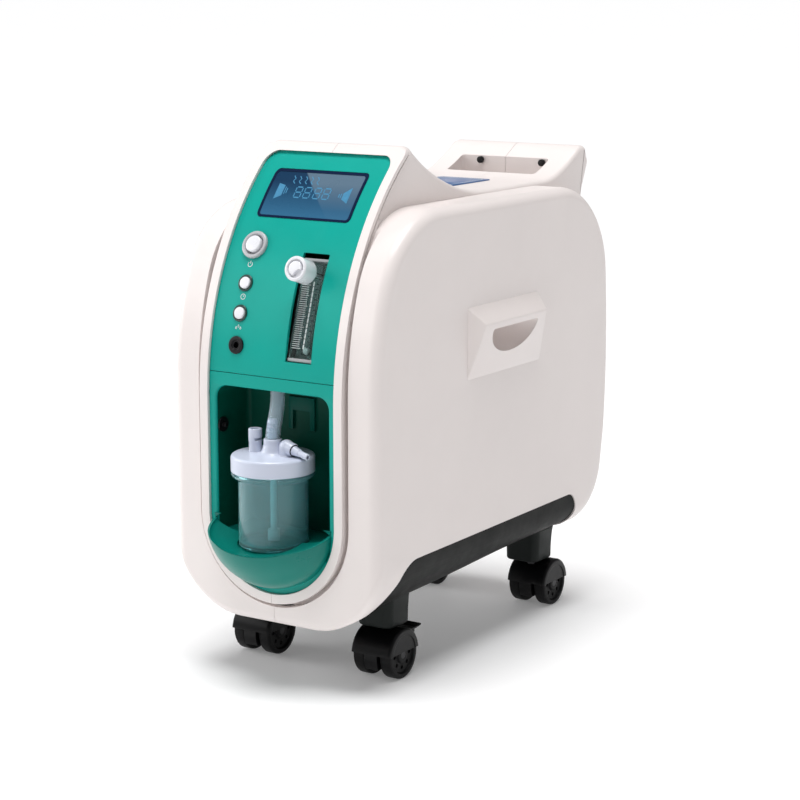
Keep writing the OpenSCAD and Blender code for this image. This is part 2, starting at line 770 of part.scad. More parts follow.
// Foam filter in its frame, which also holds the hinge pins of the door
module intake_filter() {
    color([0.2, 0.2, 0.22]) box([-47.9, 47.9], [rear_y - 22, rear_y - 10], [door_z[0] + 12.1, door_z[1] - 6.1]);
    color(grey) difference() {
        box([-rear_hw + 0.4, rear_hw - 0.4], [rear_y - 24, rear_y - 8.5], [door_z[0] + 0.4, door_z[1] - 0.4]);
        box([-48, 48], [rear_y - 26, rear_y - 5], [door_z[0] + 12, door_z[1] - 6]);
    }
    color(steel) for (s = [-1, 1]) translate([s * 34, rear_y - 4, hinge_z]) {
        bar_x(-12.5, 12.5, 1.5);
        for (t = [-1, 1]) box([t * 12 - 1.5, t * 12 + 1.5], [-5, 1.6], [-1.9, 1.9]);
    }
}

// Recessed three-pin power inlet
module mains_inlet() {
    translate([inlet_x, 0, socket_z]) {
        color(black) difference() {
            union() {
                front_extrude(rear_y - 3, rear_y - 0.5) rounded(48, 28, 3);
                front_extrude(rear_y - 29, rear_y - 2.5) rounded(30, 22, 3);
            }
            front_extrude(rear_y - 24, rear_y + 5) rounded(24.5, 16.5, 3);
        }
        color(steel) for (p = [[-7, -1.5], [0, 2.5], [7, -1.5]])
            box([p[0] - 1, p[0] + 1], [rear_y - 26, rear_y - 8], [p[1] - 2, p[1] + 2]);
    }
}

module breaker_button() {
    color(black) translate([breaker_x, 0, socket_z]) {
        bar_y(rear_y - 12, rear_y + 3.5, 5);
        bar_y(rear_y - 24, rear_y - 11.9, 3);
    }
}

// ---------- inside ----------

module mounting_deck() {
    color(steel) difference() {
        union() {
            box([-95, 95], [-150, 150], [deck_z, deck_z + 2]);
            for (s = [-1, 1]) box([s * 94 - 1, s * 94 + 1], [-150, 150], [deck_z, deck_z + 16]);
        }
        for (x = [-72, 72], y = [-140, 140]) translate([x, y, 0]) bar_z(90, 110, 3);
        for (y = [-20 : 30 : 100]) translate([0, y, 0]) bar_z(90, 110, 9);
    }
    for (x = [-72, 72], y = [-140, 140]) color(black) translate([x, y, 0]) tube_z(belly_z + 4, deck_z, 7, 3);
}

// Twin-head oil-free compressor: motor can, crankcases, finned cylinders and heads
module compressor() {
    translate([0, 45, 196]) {
        color(steel) bar_y(-46, 46, 48);
        color(grey) for (s = [-1, 1]) translate([0, s * 66, 0]) {
            bar_y(-20, 20, 36);
            bar_z(30, 62, 27);
            for (z = [36 : 6 : 60]) bar_z(z, z + 2.4, 32);
            box([-30, 30], [-17, 17], [62, 82]);
            box([-34, 34], [-21, 21], [74, 78]);
        }
        color(steel) translate([-20, 0, 72]) bar_y(-50, 50, 5);
        color(grey) for (s = [-1, 1]) box([-52, 52], [s * 30 - 7, s * 30 + 7], [-56, -40]);
    }
}

module compressor_springs() {
    color(steel) for (x = [-40, 40], y = [15, 75])
        translate([x, y, 0]) {
            for (i = [0 : 5]) translate([0, 0, deck_z + 5 + 6 * i]) rotate([7, 0, 0])
                rotate_extrude($fn = 32) translate([9, 0]) circle(1.5, $fn = 16);
            bar_z(deck_z + 2, 139.9, 5);
        }
}

module cooling_fan() {
    color(black) translate([0, 0, fan_z]) {
        bar_y(192, 214, 17);
        bar_y(186, 193, 3);
        for (a = [0 : 51.43 : 350]) rotate([0, a, 0])
            translate([0, 203, 33]) rotate([0, 0, 38]) cube([2, 22, 36], center = true);
    }
}

module fan_shroud() {
    color(black) translate([0, 0, fan_z]) difference() {
        union() {
            difference() {
                box([-60, 60], [183, 221], [-52, 56]);
                bar_y(180, 230, 54);
            }
            box([-58, 58], [183, 187.5], [-4, 4]);
            box([-4, 4], [183, 187.5], [-52, 54]);
            bar_y(183, 189.5, 15);
        }
        bar_y(180, 195, 3 + fit);
    }
}

// Molecular sieve canister with end caps, tie rods and hose barb
module sieve_bed(x) {
    translate([x, bed_y, 0]) {
        color(steel) bar_z(112, 338, 31);
        color(black) for (z = [[deck_z + 2.2, 112.2], [337.8, 350]]) bar_z(z[0], z[1], 35);
        color(steel) for (a = [45 : 90 : 315]) rotate([0, 0, a]) translate([33, 0, 0]) bar_z(112, 338, 1.6, 16);
        color(black) bar_z(349.9, 352, 12);
    }
}

module sieve_bed_left() { sieve_bed(-bed_x); }

module sieve_bed_right() { sieve_bed(bed_x); }

module product_tank() {
    color(cream) translate([0, 0, 396]) {
        bar_y(-16, 150, 34);
        for (y = [-16, 150]) translate([0, y, 0]) scale(1) sphere(34, $fn = 64);
        translate([0, 10, 0]) bar_z(33, 42, 5);
    }
}

module valve_block() {
    color(steel) box([-64, 64], [bed_y - 16, bed_y + 16], [352.2, 372]);
    color(black) for (x = [-42, -14, 14, 42]) translate([x, bed_y, 0]) {
        bar_z(371.9, 394, 9);
        bar_z(394, 398, 5);
    }
}

// Screws in the handle slot, at the rear and under the tub
module housing_screws() {
    color(steel) {
        for (x = [-32, 48]) translate([x, 0, 495]) bar_y(slot_y[1] + 0.5, slot_y[1] + 3.9, 3.5);
        for (s = [-1, 1], z = screw_z) translate([s * 80, 0, z])
            bar_y(rear_face(z) - 6, rear_face(z) - 0.8, 3.4, 24);
        for (s = [-1, 1], y = [-60, 90]) translate([s * 60, y, 0]) bar_z(belly_z - 1.8, belly_z - 0.05, 5);
    }
}

// ---------- casters ----------

// Hood, web, axle and stem of a caster whose wheels sit dy away from its stem
module caster(x, y, dy) {
    color(black) difference() {
        translate([x, y + dy, wheel_r]) union() {
            difference() {
                bar_x(-wheel_x - 8, wheel_x + 8, hood_r, 96);
                bar_x(-wheel_x - 9, wheel_x + 9, wheel_r + 0.9, 96);
                box([-40, 40], [-40, 40], [-40, 3]);
            }
            bar_x(-8, 8, hood_r - 0.5, 96);
        }
        translate([x, y + dy, 0]) box([-9, 9], [-40, 40], [-5, 12]);
    }
    color(steel) translate([x, y, 0]) {
        bar_z(foot_z - 6, foot_z + 30, stem_r);
        translate([0, dy, wheel_r]) bar_x(-wheel_x - 6.5, wheel_x + 6.5, axle_r);
    }
    if (y < 0) color(black) translate([x, y + 14, 0]) for (s = [-1, 1])
        difference() {
            union() {
                box([s * 13.5 - 1.5, s * 13.5 + 1.5], [-4.5, 3], [38, 45]);
                translate([0, 3, 41.5]) bar_x(s * 13.5 - 1.5, s * 13.5 + 1.5, 3.5);
            }
        }
    if (y < 0) color(steel) translate([x, y + 17, 41.5]) bar_x(-13, 13, 1.5);
}

module caster_front_left() { caster(-caster_x, caster_front_y, -trail); }

module caster_front_right() { caster(caster_x, caster_front_y, -trail); }

module caster_rear_left() { caster(-caster_x, caster_rear_y, trail); }

module caster_rear_right() { caster(caster_x, caster_rear_y, trail); }

// One wheel: tyre, dished hub and bore
module wheel(x, y, s) {
    translate([x, y, wheel_r]) rotate([0, s * 90, 0]) {
        color(dark) difference() {
            union() {
                bar_z(-wheel_w / 2 + 1.5, wheel_w / 2 - 1.5, wheel_r, 96);
                for (t = [-1, 1]) translate([0, 0, t * (wheel_w / 2 - 0.75)]) scale([1, 1, t])
                    translate([0, 0, -0.75]) cylinder(h = 1.5, r1 = wheel_r, r2 = wheel_r - 1.5, $fn = 96);
            }
            bar_z(wheel_w / 2 - 2.5, wheel_w, wheel_r - 6);
            bar_z(-wheel_w, wheel_w / 2 - 2.4, axle_r + fit);
        }
    }
}

module wheel_front_left_outer() { wheel(-caster_x - wheel_x, caster_front_y - trail, -1); }

module wheel_front_left_inner() { wheel(-caster_x + wheel_x, caster_front_y - trail, 1); }

module wheel_front_right_inner() { wheel(caster_x - wheel_x, caster_front_y - trail, -1); }

module wheel_front_right_outer() { wheel(caster_x + wheel_x, caster_front_y - trail, 1); }

module wheel_rear_left_outer() { wheel(-caster_x - wheel_x, caster_rear_y + trail, -1); }

module wheel_rear_left_inner() { wheel(-caster_x + wheel_x, caster_rear_y + trail, 1); }

module wheel_rear_right_inner() { wheel(caster_x - wheel_x, caster_rear_y + trail, -1); }

module wheel_rear_right_outer() { wheel(caster_x + wheel_x, caster_rear_y + trail, 1); }

// Foot lever that locks a front caster
module brake(x) {
    color(black) translate([x, caster_front_y + 17, 41.5]) difference() {
        union() {
            bar_x(-11.5, 11.5, 3.2);
            rotate([-8, 0, 0]) {
                box([-10.5, 10.5], [1.8, 24], [-0.6, 2.2]);
                for (y = [12 : 3.5 : 22]) box([-8.5, 8.5], [y, y + 1.4], [2, 3]);
            }
        }
        bar_x(-14, 14, 1.5 + fit);
    }
}

module brake_left() { brake(-caster_x); }

module brake_right() { brake(caster_x); }

housing_left();
housing_right();
base_tub();
caster_feet();
control_panel();
bay_panel();
bottle_tray();
display_window();
display_module();
control_board();
power_button_ring();
power_button();
timer_button();
mist_button();
key_rings();
accessory_jack();
bay_socket();
flowmeter_body();
flow_float();
flow_knob();
bottle();
bottle_cap();
cap_seal();
dip_tube();
relief_valve();
outlet_elbow();
supply_hose();
saddle_plate();
grip_left();
grip_right();
rear_grille();
filter_door();
intake_filter();
mains_inlet();
breaker_button();
mounting_deck();
compressor();
compressor_springs();
cooling_fan();
fan_shroud();
sieve_bed_left();
sieve_bed_right();
product_tank();
valve_block();
housing_screws();
caster_front_left();
caster_front_right();
caster_rear_left();
caster_rear_right();
wheel_front_left_outer();
wheel_front_left_inner();
wheel_front_right_inner();
wheel_front_right_outer();
wheel_rear_left_outer();
wheel_rear_left_inner();
wheel_rear_right_inner();
wheel_rear_right_outer();
brake_left();
brake_right();
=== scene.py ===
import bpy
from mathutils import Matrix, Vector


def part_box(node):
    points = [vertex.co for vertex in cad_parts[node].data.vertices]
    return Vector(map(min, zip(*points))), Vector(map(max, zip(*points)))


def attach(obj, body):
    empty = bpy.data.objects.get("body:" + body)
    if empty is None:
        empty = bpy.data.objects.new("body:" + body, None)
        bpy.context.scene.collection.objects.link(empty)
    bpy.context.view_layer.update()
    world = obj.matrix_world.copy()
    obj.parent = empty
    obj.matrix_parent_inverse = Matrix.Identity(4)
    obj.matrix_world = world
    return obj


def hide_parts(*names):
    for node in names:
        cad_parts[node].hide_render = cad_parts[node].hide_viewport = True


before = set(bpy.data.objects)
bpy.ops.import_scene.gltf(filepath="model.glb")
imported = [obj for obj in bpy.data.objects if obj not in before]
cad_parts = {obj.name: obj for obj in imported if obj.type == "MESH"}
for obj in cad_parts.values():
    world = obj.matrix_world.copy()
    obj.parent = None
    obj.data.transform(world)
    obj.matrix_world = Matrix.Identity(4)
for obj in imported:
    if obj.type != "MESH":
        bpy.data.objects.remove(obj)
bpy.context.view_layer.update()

import math

import bmesh
import bpy
from mathutils import Matrix, Vector

# ---------------------------------------------------------------- sizes
# Lengths are in millimetres, in the CAD model's frame: +Z up, the front faces -Y.
MM = 0.001


def cad(node, corner, axis):
    """One coordinate of a CAD node's box, in millimetres."""
    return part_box(node)[corner]["xyz".index(axis)] / MM


BODY_HW = cad("housing_right", 1, "x")
FACE_Y = cad("bay_panel", 0, "y")
CREST_Z = cad("housing_right", 1, "z")
TAIL_Y = cad("housing_right", 1, "y")
PANEL_HW = cad("bay_panel", 1, "x")
PANEL_TOP = cad("control_panel", 1, "z") + 0.3
SEAM_Z = cad("control_panel", 0, "z") - 0.3
CAP_TOP = cad("cap_seal", 1, "z") + 3.1
BOTTLE_Z = cad("bottle", 0, "z")
CAP_R = cad("bottle_cap", 1, "x")
LEAN_Z = 290
LEAN_R = 308
LEAN_Y = FACE_Y + LEAN_R
EDGE_R = 12
WALL = 3
FRONT_Y = FACE_Y + 1.5
REAR_Y = 254
SHELL_TOP = 478
SHELL_LOW = 61
SIDE_LOW = 141
REAR_LOW = 97
REAR_CURL = 22
BELLY_Z = 90
TUB_TOP = 134
RIM_W = 10
RIM_OUT = 3
RIM_HW = 86.3
GROOVE = 4.4
ROUND_Z = 172.4
SPINE_HW = 84
SADDLE = (50, 188, 481.5)
CREST_R = 10
HANDLE_Y = 256
HANDLE_Z = 514
SLOT_HW = 57
SLOT_Y = (199, 226)
SLOT_LOW = 448
BAY_HW = 68.5
BAY_TOP = 301.5
BAY_LOW = 139
BAY_BACK = -169
BOTTLE_Y = FACE_Y + 2.5
BOTTLE_R = 35
FLANGE_Z = 218
NECK_R = 37.5
TRAY_Z = 165
TRAY_HW = 71.3
TRAY_OUT = 53
TRAY_DEEP = 62
TRAY_TILT = 19
GRIP_Y = (-57.3, 93)
GRIP_Z = (297, 374)
GRIP_RIDGE_Z = 356
GRIP_OUT = 17
KEY_X = -45
POWER_Z = 439
TIMER_Z = 403
MIST_Z = 374
JACK_Z = 343
POWER_R = 8.8
KEY_R = 6
FLOW_X = 31
FLOW_HW = 15.5
FLOW_Z = (332, 436)
FLOW_MID = 384
FLOW_TILT = 17.7
KNOB_Z = 417
KNOB_R = 12.4
DISPLAY_HW = 56.5
DISPLAY_Z = (466, 511)
OUTLET_X = 17
OUTLET_TURN = 15
OUTLET_DROOP = 9.5
RELIEF_X = -21.5
HOSE_BACK = 9
CASTER_X = 76
CASTER_Y = {"front": -123, "rear": 168}
TRAIL = 12
WHEEL_R = 25
WHEEL_X = 16
WHEEL_W = 14
FIELD_HW = 66
FIELD_Z = (150, 402)
REAR_HW = 56
GRILLE_Z = (194, 292)
DOOR_Z = (306, 396)
INLET_X = -30
BREAKER_X = 32
SOCKET_Z = 171
SCREW_Z = (185, 285, 375)

# ---------------------------------------------------------------- camera
LENS = 97.67
AIM = Vector((-3.575, 15.5, 252.98)) * MM
DISTANCE = 2340.03 * MM
AZIMUTH = math.radians(33.03)
ELEVATION = math.radians(11.23)


def add_camera():
    data = bpy.data.cameras.new("camera")
    data.lens = LENS
    data.sensor_width = 36
    data.clip_end = 500
    camera = bpy.data.objects.new("camera", data)
    bpy.context.scene.collection.objects.link(camera)
    back = Vector((math.sin(AZIMUTH) * math.cos(ELEVATION),
                   -math.cos(AZIMUTH) * math.cos(ELEVATION), math.sin(ELEVATION)))
    camera.location = AIM + back * DISTANCE
    camera.rotation_mode = "QUATERNION"
    camera.rotation_quaternion = (-back).to_track_quat("-Z", "Y")
    bpy.context.scene.camera = camera


# ---------------------------------------------------------------- outlines
def sweep(a, b, n):
    """n + 1 even values from a to b."""
    return [a + (b - a) * i / n for i in range(n + 1)]


def arc(centre, r, a, b, n):
    """Points on an arc from angle a to angle b, in degrees."""
    return [(centre[0] + r * math.cos(math.radians(t)), centre[1] + r * math.sin(math.radians(t)))
            for t in sweep(a, b, n)]


def lean(z):
    return math.degrees(math.asin((z - LEAN_Z) / LEAN_R)) if z > LEAN_Z else 0.0


def panel_y(z):
    return LEAN_Y - LEAN_R * math.cos(math.radians(lean(z)))


def curl(r, x):
    return r - math.sqrt(max(0.0, r * r - max(0.0, x - BODY_HW + r) ** 2))


def shell_outline(x, d):
    """Side view of a shell at sideways place x, drawn d inside its surface."""
    i = min(d + curl(EDGE_R, x), EDGE_R - 0.2)
    flat = (FRONT_Y + 325, 300)
    knee = (flat[0] + 223 * math.cos(math.radians(160)), flat[1] + 223 * math.sin(math.radians(160)))
    low_front = SHELL_LOW + curl(SIDE_LOW - SHELL_LOW, x) + d + EDGE_R
    low_rear = REAR_LOW + curl(REAR_CURL, x) + d + 60
    inner = 60 - i
    rear = [(REAR_Y - 69 + inner * math.cos(math.radians(a)), low_rear + 60 * math.sin(math.radians(a)))
            for a in sweep(-12, -90, 18)]
    front = [(FRONT_Y + EDGE_R + (EDGE_R - i) * math.cos(math.radians(a)),
              low_front + EDGE_R * math.sin(math.radians(a))) for a in sweep(-90, -180, 8)]
    return (arc(flat, 325 - i, 180, 160, 14) + arc(knee, 102 - i, 158, 90, 22)
            + arc((REAR_Y - 111, SHELL_TOP - 107), 107 - i, 89, 8, 26)
            + arc((REAR_Y - 1012, 285), 1012 - i, 4, -5, 12) + rear + front)


def lift(outline, x):
    return [(x, y, z) for y, z in outline]


def shell_half(d):
    """Closed half body from X = 0 to the +X side."""
    edge = [BODY_HW - EDGE_R + EDGE_R * math.sin(math.radians(t)) for t in sweep(0, 90, 10)]
    belly = SIDE_LOW - SHELL_LOW
    low = [BODY_HW - belly + belly * math.sin(math.radians(t)) for t in sweep(0, 56, 12)]
    places = [0.0] + [x for x in low if x < edge[0] - 1] + edge
    return loft([lift(shell_outline(x, d), max(0.0, x - d)) for x in places if x == 0 or x > d])


CREST_A = 180 - math.degrees(math.asin((CREST_Z - CREST_R - LEAN_Z) / (LEAN_R + RIM_OUT - CREST_R)))
CREST = (LEAN_Y + (LEAN_R + RIM_OUT - CREST_R) * math.cos(math.radians(CREST_A)),
         LEAN_Z + (LEAN_R + RIM_OUT - CREST_R) * math.sin(math.radians(CREST_A)))
DROP = CREST[1] - SADDLE[2]
SWEEP_R = ((SADDLE[0] - CREST[0]) ** 2 / (CREST_R + DROP) - CREST_R + DROP) / 2
SWEEP_A = math.degrees(math.atan2(CREST[1] - SADDLE[2] - SWEEP_R, CREST[0] - SADDLE[0])) + 360


def spine_outline():
    """Side view of the spine: leaning front, crest, saddle and carry handle, each point with its
    edge rounding."""
    front = arc((LEAN_Y, LEAN_Z), LEAN_R + RIM_OUT - 0.3, 180, CREST_A, 40)
    crest = arc(CREST, CREST_R - 0.1, CREST_A - 8, SWEEP_A - 180, 10)
    dip = [p for p in arc((SADDLE[0], SADDLE[2] + SWEEP_R), SWEEP_R, SWEEP_A, 270, 26)
           if p[0] > CREST[0] + 7]
    flat = [(y, SADDLE[2]) for y in sweep(SADDLE[0] + 12, SADDLE[1] - 16, 8)]
    end = (HANDLE_Y - 4 - SADDLE[1] + 16, HANDLE_Z - 1.6 - SADDLE[2])
    rise = [(SADDLE[1] - 16 + 2 * t * (1 - t) * 30 + t * t * end[0], SADDLE[2] + t * t * end[1])
            for t in sweep(0, 1, 12)[1:-1]]
    slope = [(HANDLE_Y - 4, HANDLE_Z - 1.6)]
    tip = arc((HANDLE_Y + 4, HANDLE_Z - 10), 10, 105, 44, 7) + arc((TAIL_Y - 10, HANDLE_Z - 19), 10, 36, -18, 7)
    neck = [(REAR_Y + 6 - 9 * t + 5 * t * t, 466 - 40 * t) for t in sweep(0, 1, 6)]
    inside = [(REAR_Y - 20, 330), (-150, 240)]
    rounding = ([5.0] * len(front) + [10.0] * len(crest)
                + [10.0 - 5.0 * min(1.0, i / 12) for i in range(len(dip))]
                + [5.0] * (len(flat) + len(rise) + 1) + [6.0] * len(tip) + [5.0] * len(neck) + [0.1] * 2)
    return front + crest + dip + flat + rise + slope + tip + neck + inside, rounding


def inset(points, amounts):
    """Points moved inwards along the outline's normals, each by its own amount."""
    out = []
    count = len(points)
    for k in range(count):
        before, after = Vector(points[k - 1]), Vector(points[(k + 1) % count])
        along = (after - before).normalized()
        out.append((points[k][0] + along.y * amounts[k], points[k][1] - along.x * amounts[k]))
    return out


def spine_half(d, hw=SPINE_HW):
    outline, rounding = spine_outline()
    rings = [lift(inset(outline, [d] * len(outline)), 0.0)] if d else [lift(outline, 0.0)]
    for t in sweep(0, 90, 8):
        s, c = math.sin(math.radians(t)), math.cos(math.radians(t))
        pulled = inset(outline, [d + r * (1 - c) for r in rounding])
        rings.append([(hw - d - r + r * s, y, z) for (y, z), r in zip(pulled, rounding)])
    return loft(rings)


def panel_outline(grow, top, bend=13, n=48):
    """Front view of the panels: round below, rounded corners at the top."""
    r = PANEL_HW + grow
    return (arc((0, ROUND_Z), r, 180, 360, n) + arc((r - bend, top - bend), bend, 0, 90, n // 4)
            + arc((-r + bend, top - bend), bend, 90, 180, n // 4))


def rounded_box(x, z, r, n=8):
    """Outline of a rectangle between x[0], x[1] and z[0], z[1] with rounded corners."""
    return (arc((x[1] - r, z[0] + r), r, -90, 0, n) + arc((x[1] - r, z[1] - r), r, 0, 90, n)
            + arc((x[0] + r, z[1] - r), r, 90, 180, n) + arc((x[0] + r, z[0] + r), r, 180, 270, n))


def tub_outline(grow=0.0):
    """Side view of the space that the base tub fills."""
    base = ([(-217, 40), (-217, 75), (-214, 82)]
            + arc((-221, 112), 30, -72, -38, 4)
            + arc((-149, TUB_TOP - 31), 31, 155, 90, 14) + arc((161, TUB_TOP - 16), 17.5, 85, -62, 14)
            + [(157, BELLY_Z - 6), (157, 40)])
    return inset(base, [-grow] * len(base)) if grow else base


# ---------------------------------------------------------------- meshes
def new_object(name, verts, faces):
    mesh = bpy.data.meshes.new(name)
    mesh.from_pydata([Vector(v) * MM for v in verts], [], faces)
    bm = bmesh.new()
    bm.from_mesh(mesh)
    bmesh.ops.remove_doubles(bm, verts=bm.verts, dist=1e-6)
    bmesh.ops.dissolve_degenerate(bm, edges=bm.edges, dist=1e-7)
    bmesh.ops.recalc_face_normals(bm, faces=bm.faces)
    bm.to_mesh(mesh)
    bm.free()
    mesh.validate()
    obj = bpy.data.objects.new(name, mesh)
    bpy.context.scene.collection.objects.link(obj)
    return obj


def loft(rings, name="tool", closed=False):
    """Skin over rings of equal length, capped at both ends unless the rings close on themselves."""
    n = len(rings[0])
    verts = [p for ring in rings for p in ring]
    faces = []
    count = len(rings)
    for k in range(count if closed else count - 1):
        a, b = k * n, ((k + 1) % count) * n
        faces += [(a + i, a + (i + 1) % n, b + (i + 1) % n, b + i) for i in range(n)]
    if not closed:
        faces += [tuple(range(n))[::-1], tuple((count - 1) * n + i for i in range(n))]
    return new_object(name, verts, faces)


def prism_x(outline, x0, x1):
    return loft([lift(outline, x0), lift(outline, x1)])


def prism_y(outline, y0, y1):
    return loft([[(x, y0, z) for x, z in outline], [(x, y1, z) for x, z in outline]])


def prism_z(outline, z0, z1):
    return loft([[(x, y, z0) for x, y in outline], [(x, y, z1) for x, y in outline]])


def block(x, y, z):
    return prism_z([(x[0], y[0]), (x[1], y[0]), (x[1], y[1]), (x[0], y[1])], z[0], z[1])


def lathe(profile, at=Matrix.Identity(4), n=96, name="tool"):
    """Solid of revolution about local Z. The profile is a list of (radius, height)."""
    rings = [[at @ Vector((max(r, 1e-4) * math.cos(math.tau * i / n), max(r, 1e-4) * math.sin(math.tau * i / n), h))
              for i in range(n)] for r, h in profile]
    closed = profile[0][0] > 0.01
    return loft([[tuple(p) for p in ring] for ring in rings], name, closed)


def rod(at, r, z0, z1, n=64):
    return lathe([(0, z0), (r, z0), (r, z1), (0, z1)], at, n)


def tube(path, r, name="tool", n=16, ends=True):
    """Round bar along a path of points, with a radius for each point or one for all."""
    points = [Vector(p) for p in path]
    radii = r if isinstance(r, (list, tuple)) else [r] * len(points)
    rings = []
    up = Vector((0, 0, 1))
    for k, p in enumerate(points):
        along = (points[min(k + 1, len(points) - 1)] - points[max(k - 1, 0)]).normalized()
        side = along.cross(up if abs(along.z) < 0.95 else Vector((0, 1, 0))).normalized()
        other = side.cross(along)
        rings.append([tuple(p + (side * math.cos(math.tau * i / n) + other * math.sin(math.tau * i / n)) * radii[k])
                      for i in range(n)])
    return loft(rings, name, not ends)


def combine(obj, tools, operation):
    for tool in tools:
        change = obj.modifiers.new("combine", "BOOLEAN")
        change.operation = operation
        change.solver = "MANIFOLD"
        change.object = tool
    graph = bpy.context.evaluated_depsgraph_get()
    made = bpy.data.meshes.new_from_object(obj.evaluated_get(graph))
    obj.modifiers.clear()
    obj.data = made
    for tool in tools:
        bpy.data.objects.remove(tool)
    return obj


def minus(obj, *tools):
    return combine(obj, tools, "DIFFERENCE")


def union(obj, *tools):
    return combine(obj, tools, "UNION")


def common(obj, *tools):
    return combine(obj, tools, "INTERSECT")


def join(obj, *others):
    """Puts loose parts into one mesh."""
    bm = bmesh.new()
    for part in (obj, *others):
        bm.from_mesh(part.data)
    made = bpy.data.meshes.new(obj.name)
    bm.to_mesh(made)
    bm.free()
    obj.data = made
    for part in others:
        bpy.data.objects.remove(part)
    return obj


def mirrored(obj, name):
    """Copy on the other side of X = 0."""
    other = obj.copy()
    other.data = obj.data.copy()
    other.name = name
    other.data.transform(Matrix.Scale(-1, 4, (1, 0, 0)))
    other.data.flip_normals()
    bpy.context.scene.collection.objects.link(other)
    return other


def bevel(obj, width, segments=3, angle=35):
    """Rounds the sharp edges of a mesh with few faces."""
    change = obj.modifiers.new("bevel", "BEVEL")
    change.width = width * MM
    change.segments = segments
    change.limit_method = "ANGLE"
    change.angle_limit = math.radians(angle)
    change.harden_normals = False
    graph = bpy.context.evaluated_depsgraph_get()
    made = bpy.data.meshes.new_from_object(obj.evaluated_get(graph))
    obj.modifiers.clear()
    obj.data = made
    return obj


def finish_piece(obj, name, body, material, nodes=(), angle=32):
    """Names a piece, gives it its material and hangs it on its body."""
    obj.name = name
    obj.data.name = name
    obj.data.materials.clear()
    obj.data.materials.append(material)
    for face in obj.data.polygons:
        face.material_index = 0
    obj.data.shade_smooth()
    obj.data.set_sharp_from_angle(angle=math.radians(angle))
    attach(obj, body)
    if nodes:
        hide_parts(*nodes)
    return obj


def on_panel(x, z):
    """Place on the front panel: local +Z points out of it and local +Y up along it."""
    return Matrix.Translation((x, panel_y(z), z)) @ Matrix.Rotation(math.radians(90 - lean(z)), 4, "X")


def on_flow(z):
    return Matrix.Translation((FLOW_X, panel_y(z), z)) @ Matrix.Rotation(math.radians(90 - FLOW_TILT), 4, "X")


def on_rear(x, y, z):
    """Place on the rear: local +Z points backwards."""
    return Matrix.Translation((x, y, z)) @ Matrix.Rotation(math.radians(-90), 4, "X")


def along_x(x, y, z):
    return Matrix.Translation((x, y, z)) @ Matrix.Rotation(math.radians(90), 4, "Y")


def placed(obj, at):
    obj.data.transform(Matrix.Scale(MM, 4) @ at @ Matrix.Scale(1 / MM, 4))
    return obj


# ---------------------------------------------------------------- materials
def node_tree(name):
    material = bpy.data.materials.new(name)
    material.use_nodes = True
    nodes = material.node_tree.nodes
    nodes.clear()
    out = nodes.new("ShaderNodeOutputMaterial")
    shader = nodes.new("ShaderNodeBsdfPrincipled")
    material.node_tree.links.new(shader.outputs[0], out.inputs[0])
    return material, nodes, material.node_tree.links, shader


def noise(nodes, links, scale, detail=4.0, rough=0.5, stretch=None):
    coords = nodes.new("ShaderNodeTexCoord")
    texture = nodes.new("ShaderNodeTexNoise")
    texture.inputs["Scale"].default_value = scale
    texture.inputs["Detail"].default_value = detail
    texture.inputs["Roughness"].default_value = rough
    if stretch:
        mapping = nodes.new("ShaderNodeMapping")
        mapping.inputs["Scale"].default_value = stretch
        links.new(coords.outputs["Object"], mapping.inputs[0])
        links.new(mapping.outputs[0], texture.inputs["Vector"])
    else:
        links.new(coords.outputs["Object"], texture.inputs["Vector"])
    return texture.outputs["Fac"]


def ramp(nodes, links, fac, low, high, a, b):
    """Maps a factor to a colour or grey between a and b."""
    node = nodes.new("ShaderNodeValToRGB")
    node.color_ramp.elements[0].position = low
    node.color_ramp.elements[1].position = high
    grey = [(*c, 1) if isinstance(c, (tuple, list)) else (c, c, c, 1) for c in (a, b)]
    node.color_ramp.elements[0].color = grey[0]
    node.color_ramp.elements[1].color = grey[1]
    links.new(fac, node.inputs[0])
    return node.outputs[0]


def tone(color, k):
    return tuple(min(1.0, c * k) for c in color)


def plastic(name, color, rough=0.3, grain=900.0, bump=0.04, round_edge=0.6, coat=0.0, spread=0.04, stretch=None,
            metallic=0.0, specular=0.5, edge_wear=0.0):
    """Moulded plastic, rubber or metal: soft colour drift, uneven gloss, fine grain and eased edges."""
    material, nodes, links, shader = node_tree(name)
    drift = noise(nodes, links, 14.0, 5.0, 0.6)
    base = ramp(nodes, links, drift, 0.3, 0.7, tone(color, 1 - spread), tone(color, 1 + spread))
    if edge_wear:
        geometry = nodes.new("ShaderNodeNewGeometry")
        worn = ramp(nodes, links, geometry.outputs["Pointiness"], 0.52, 0.60, 0.0, edge_wear)
        mix = nodes.new("ShaderNodeMix")
        mix.data_type = "RGBA"
        links.new(worn, mix.inputs["Factor"])
        links.new(base, mix.inputs["A"])
        mix.inputs["B"].default_value = (*tone(color, 1.6), 1)
        base = mix.outputs["Result"]
    links.new(base, shader.inputs["Base Color"])
    gloss = noise(nodes, links, 45.0, 6.0, 0.65)
    links.new(ramp(nodes, links, gloss, 0.25, 0.75, rough * 0.85, min(1.0, rough * 1.2)), shader.inputs["Roughness"])
    edge = nodes.new("ShaderNodeBevel")
    edge.samples = 4
    edge.inputs["Radius"].default_value = round_edge * MM
    relief = nodes.new("ShaderNodeBump")
    relief.inputs["Strength"].default_value = bump
    relief.inputs["Distance"].default_value = 0.0004
    links.new(noise(nodes, links, grain, 3.0, 0.5, stretch), relief.inputs["Height"])
    links.new(edge.outputs[0], relief.inputs["Normal"])
    links.new(relief.outputs[0], shader.inputs["Normal"])
    shader.inputs["Metallic"].default_value = metallic
    shader.inputs["Specular IOR Level"].default_value = specular
    shader.inputs["Coat Weight"].default_value = coat
    shader.inputs["Coat Roughness"].default_value = 0.08
    return material


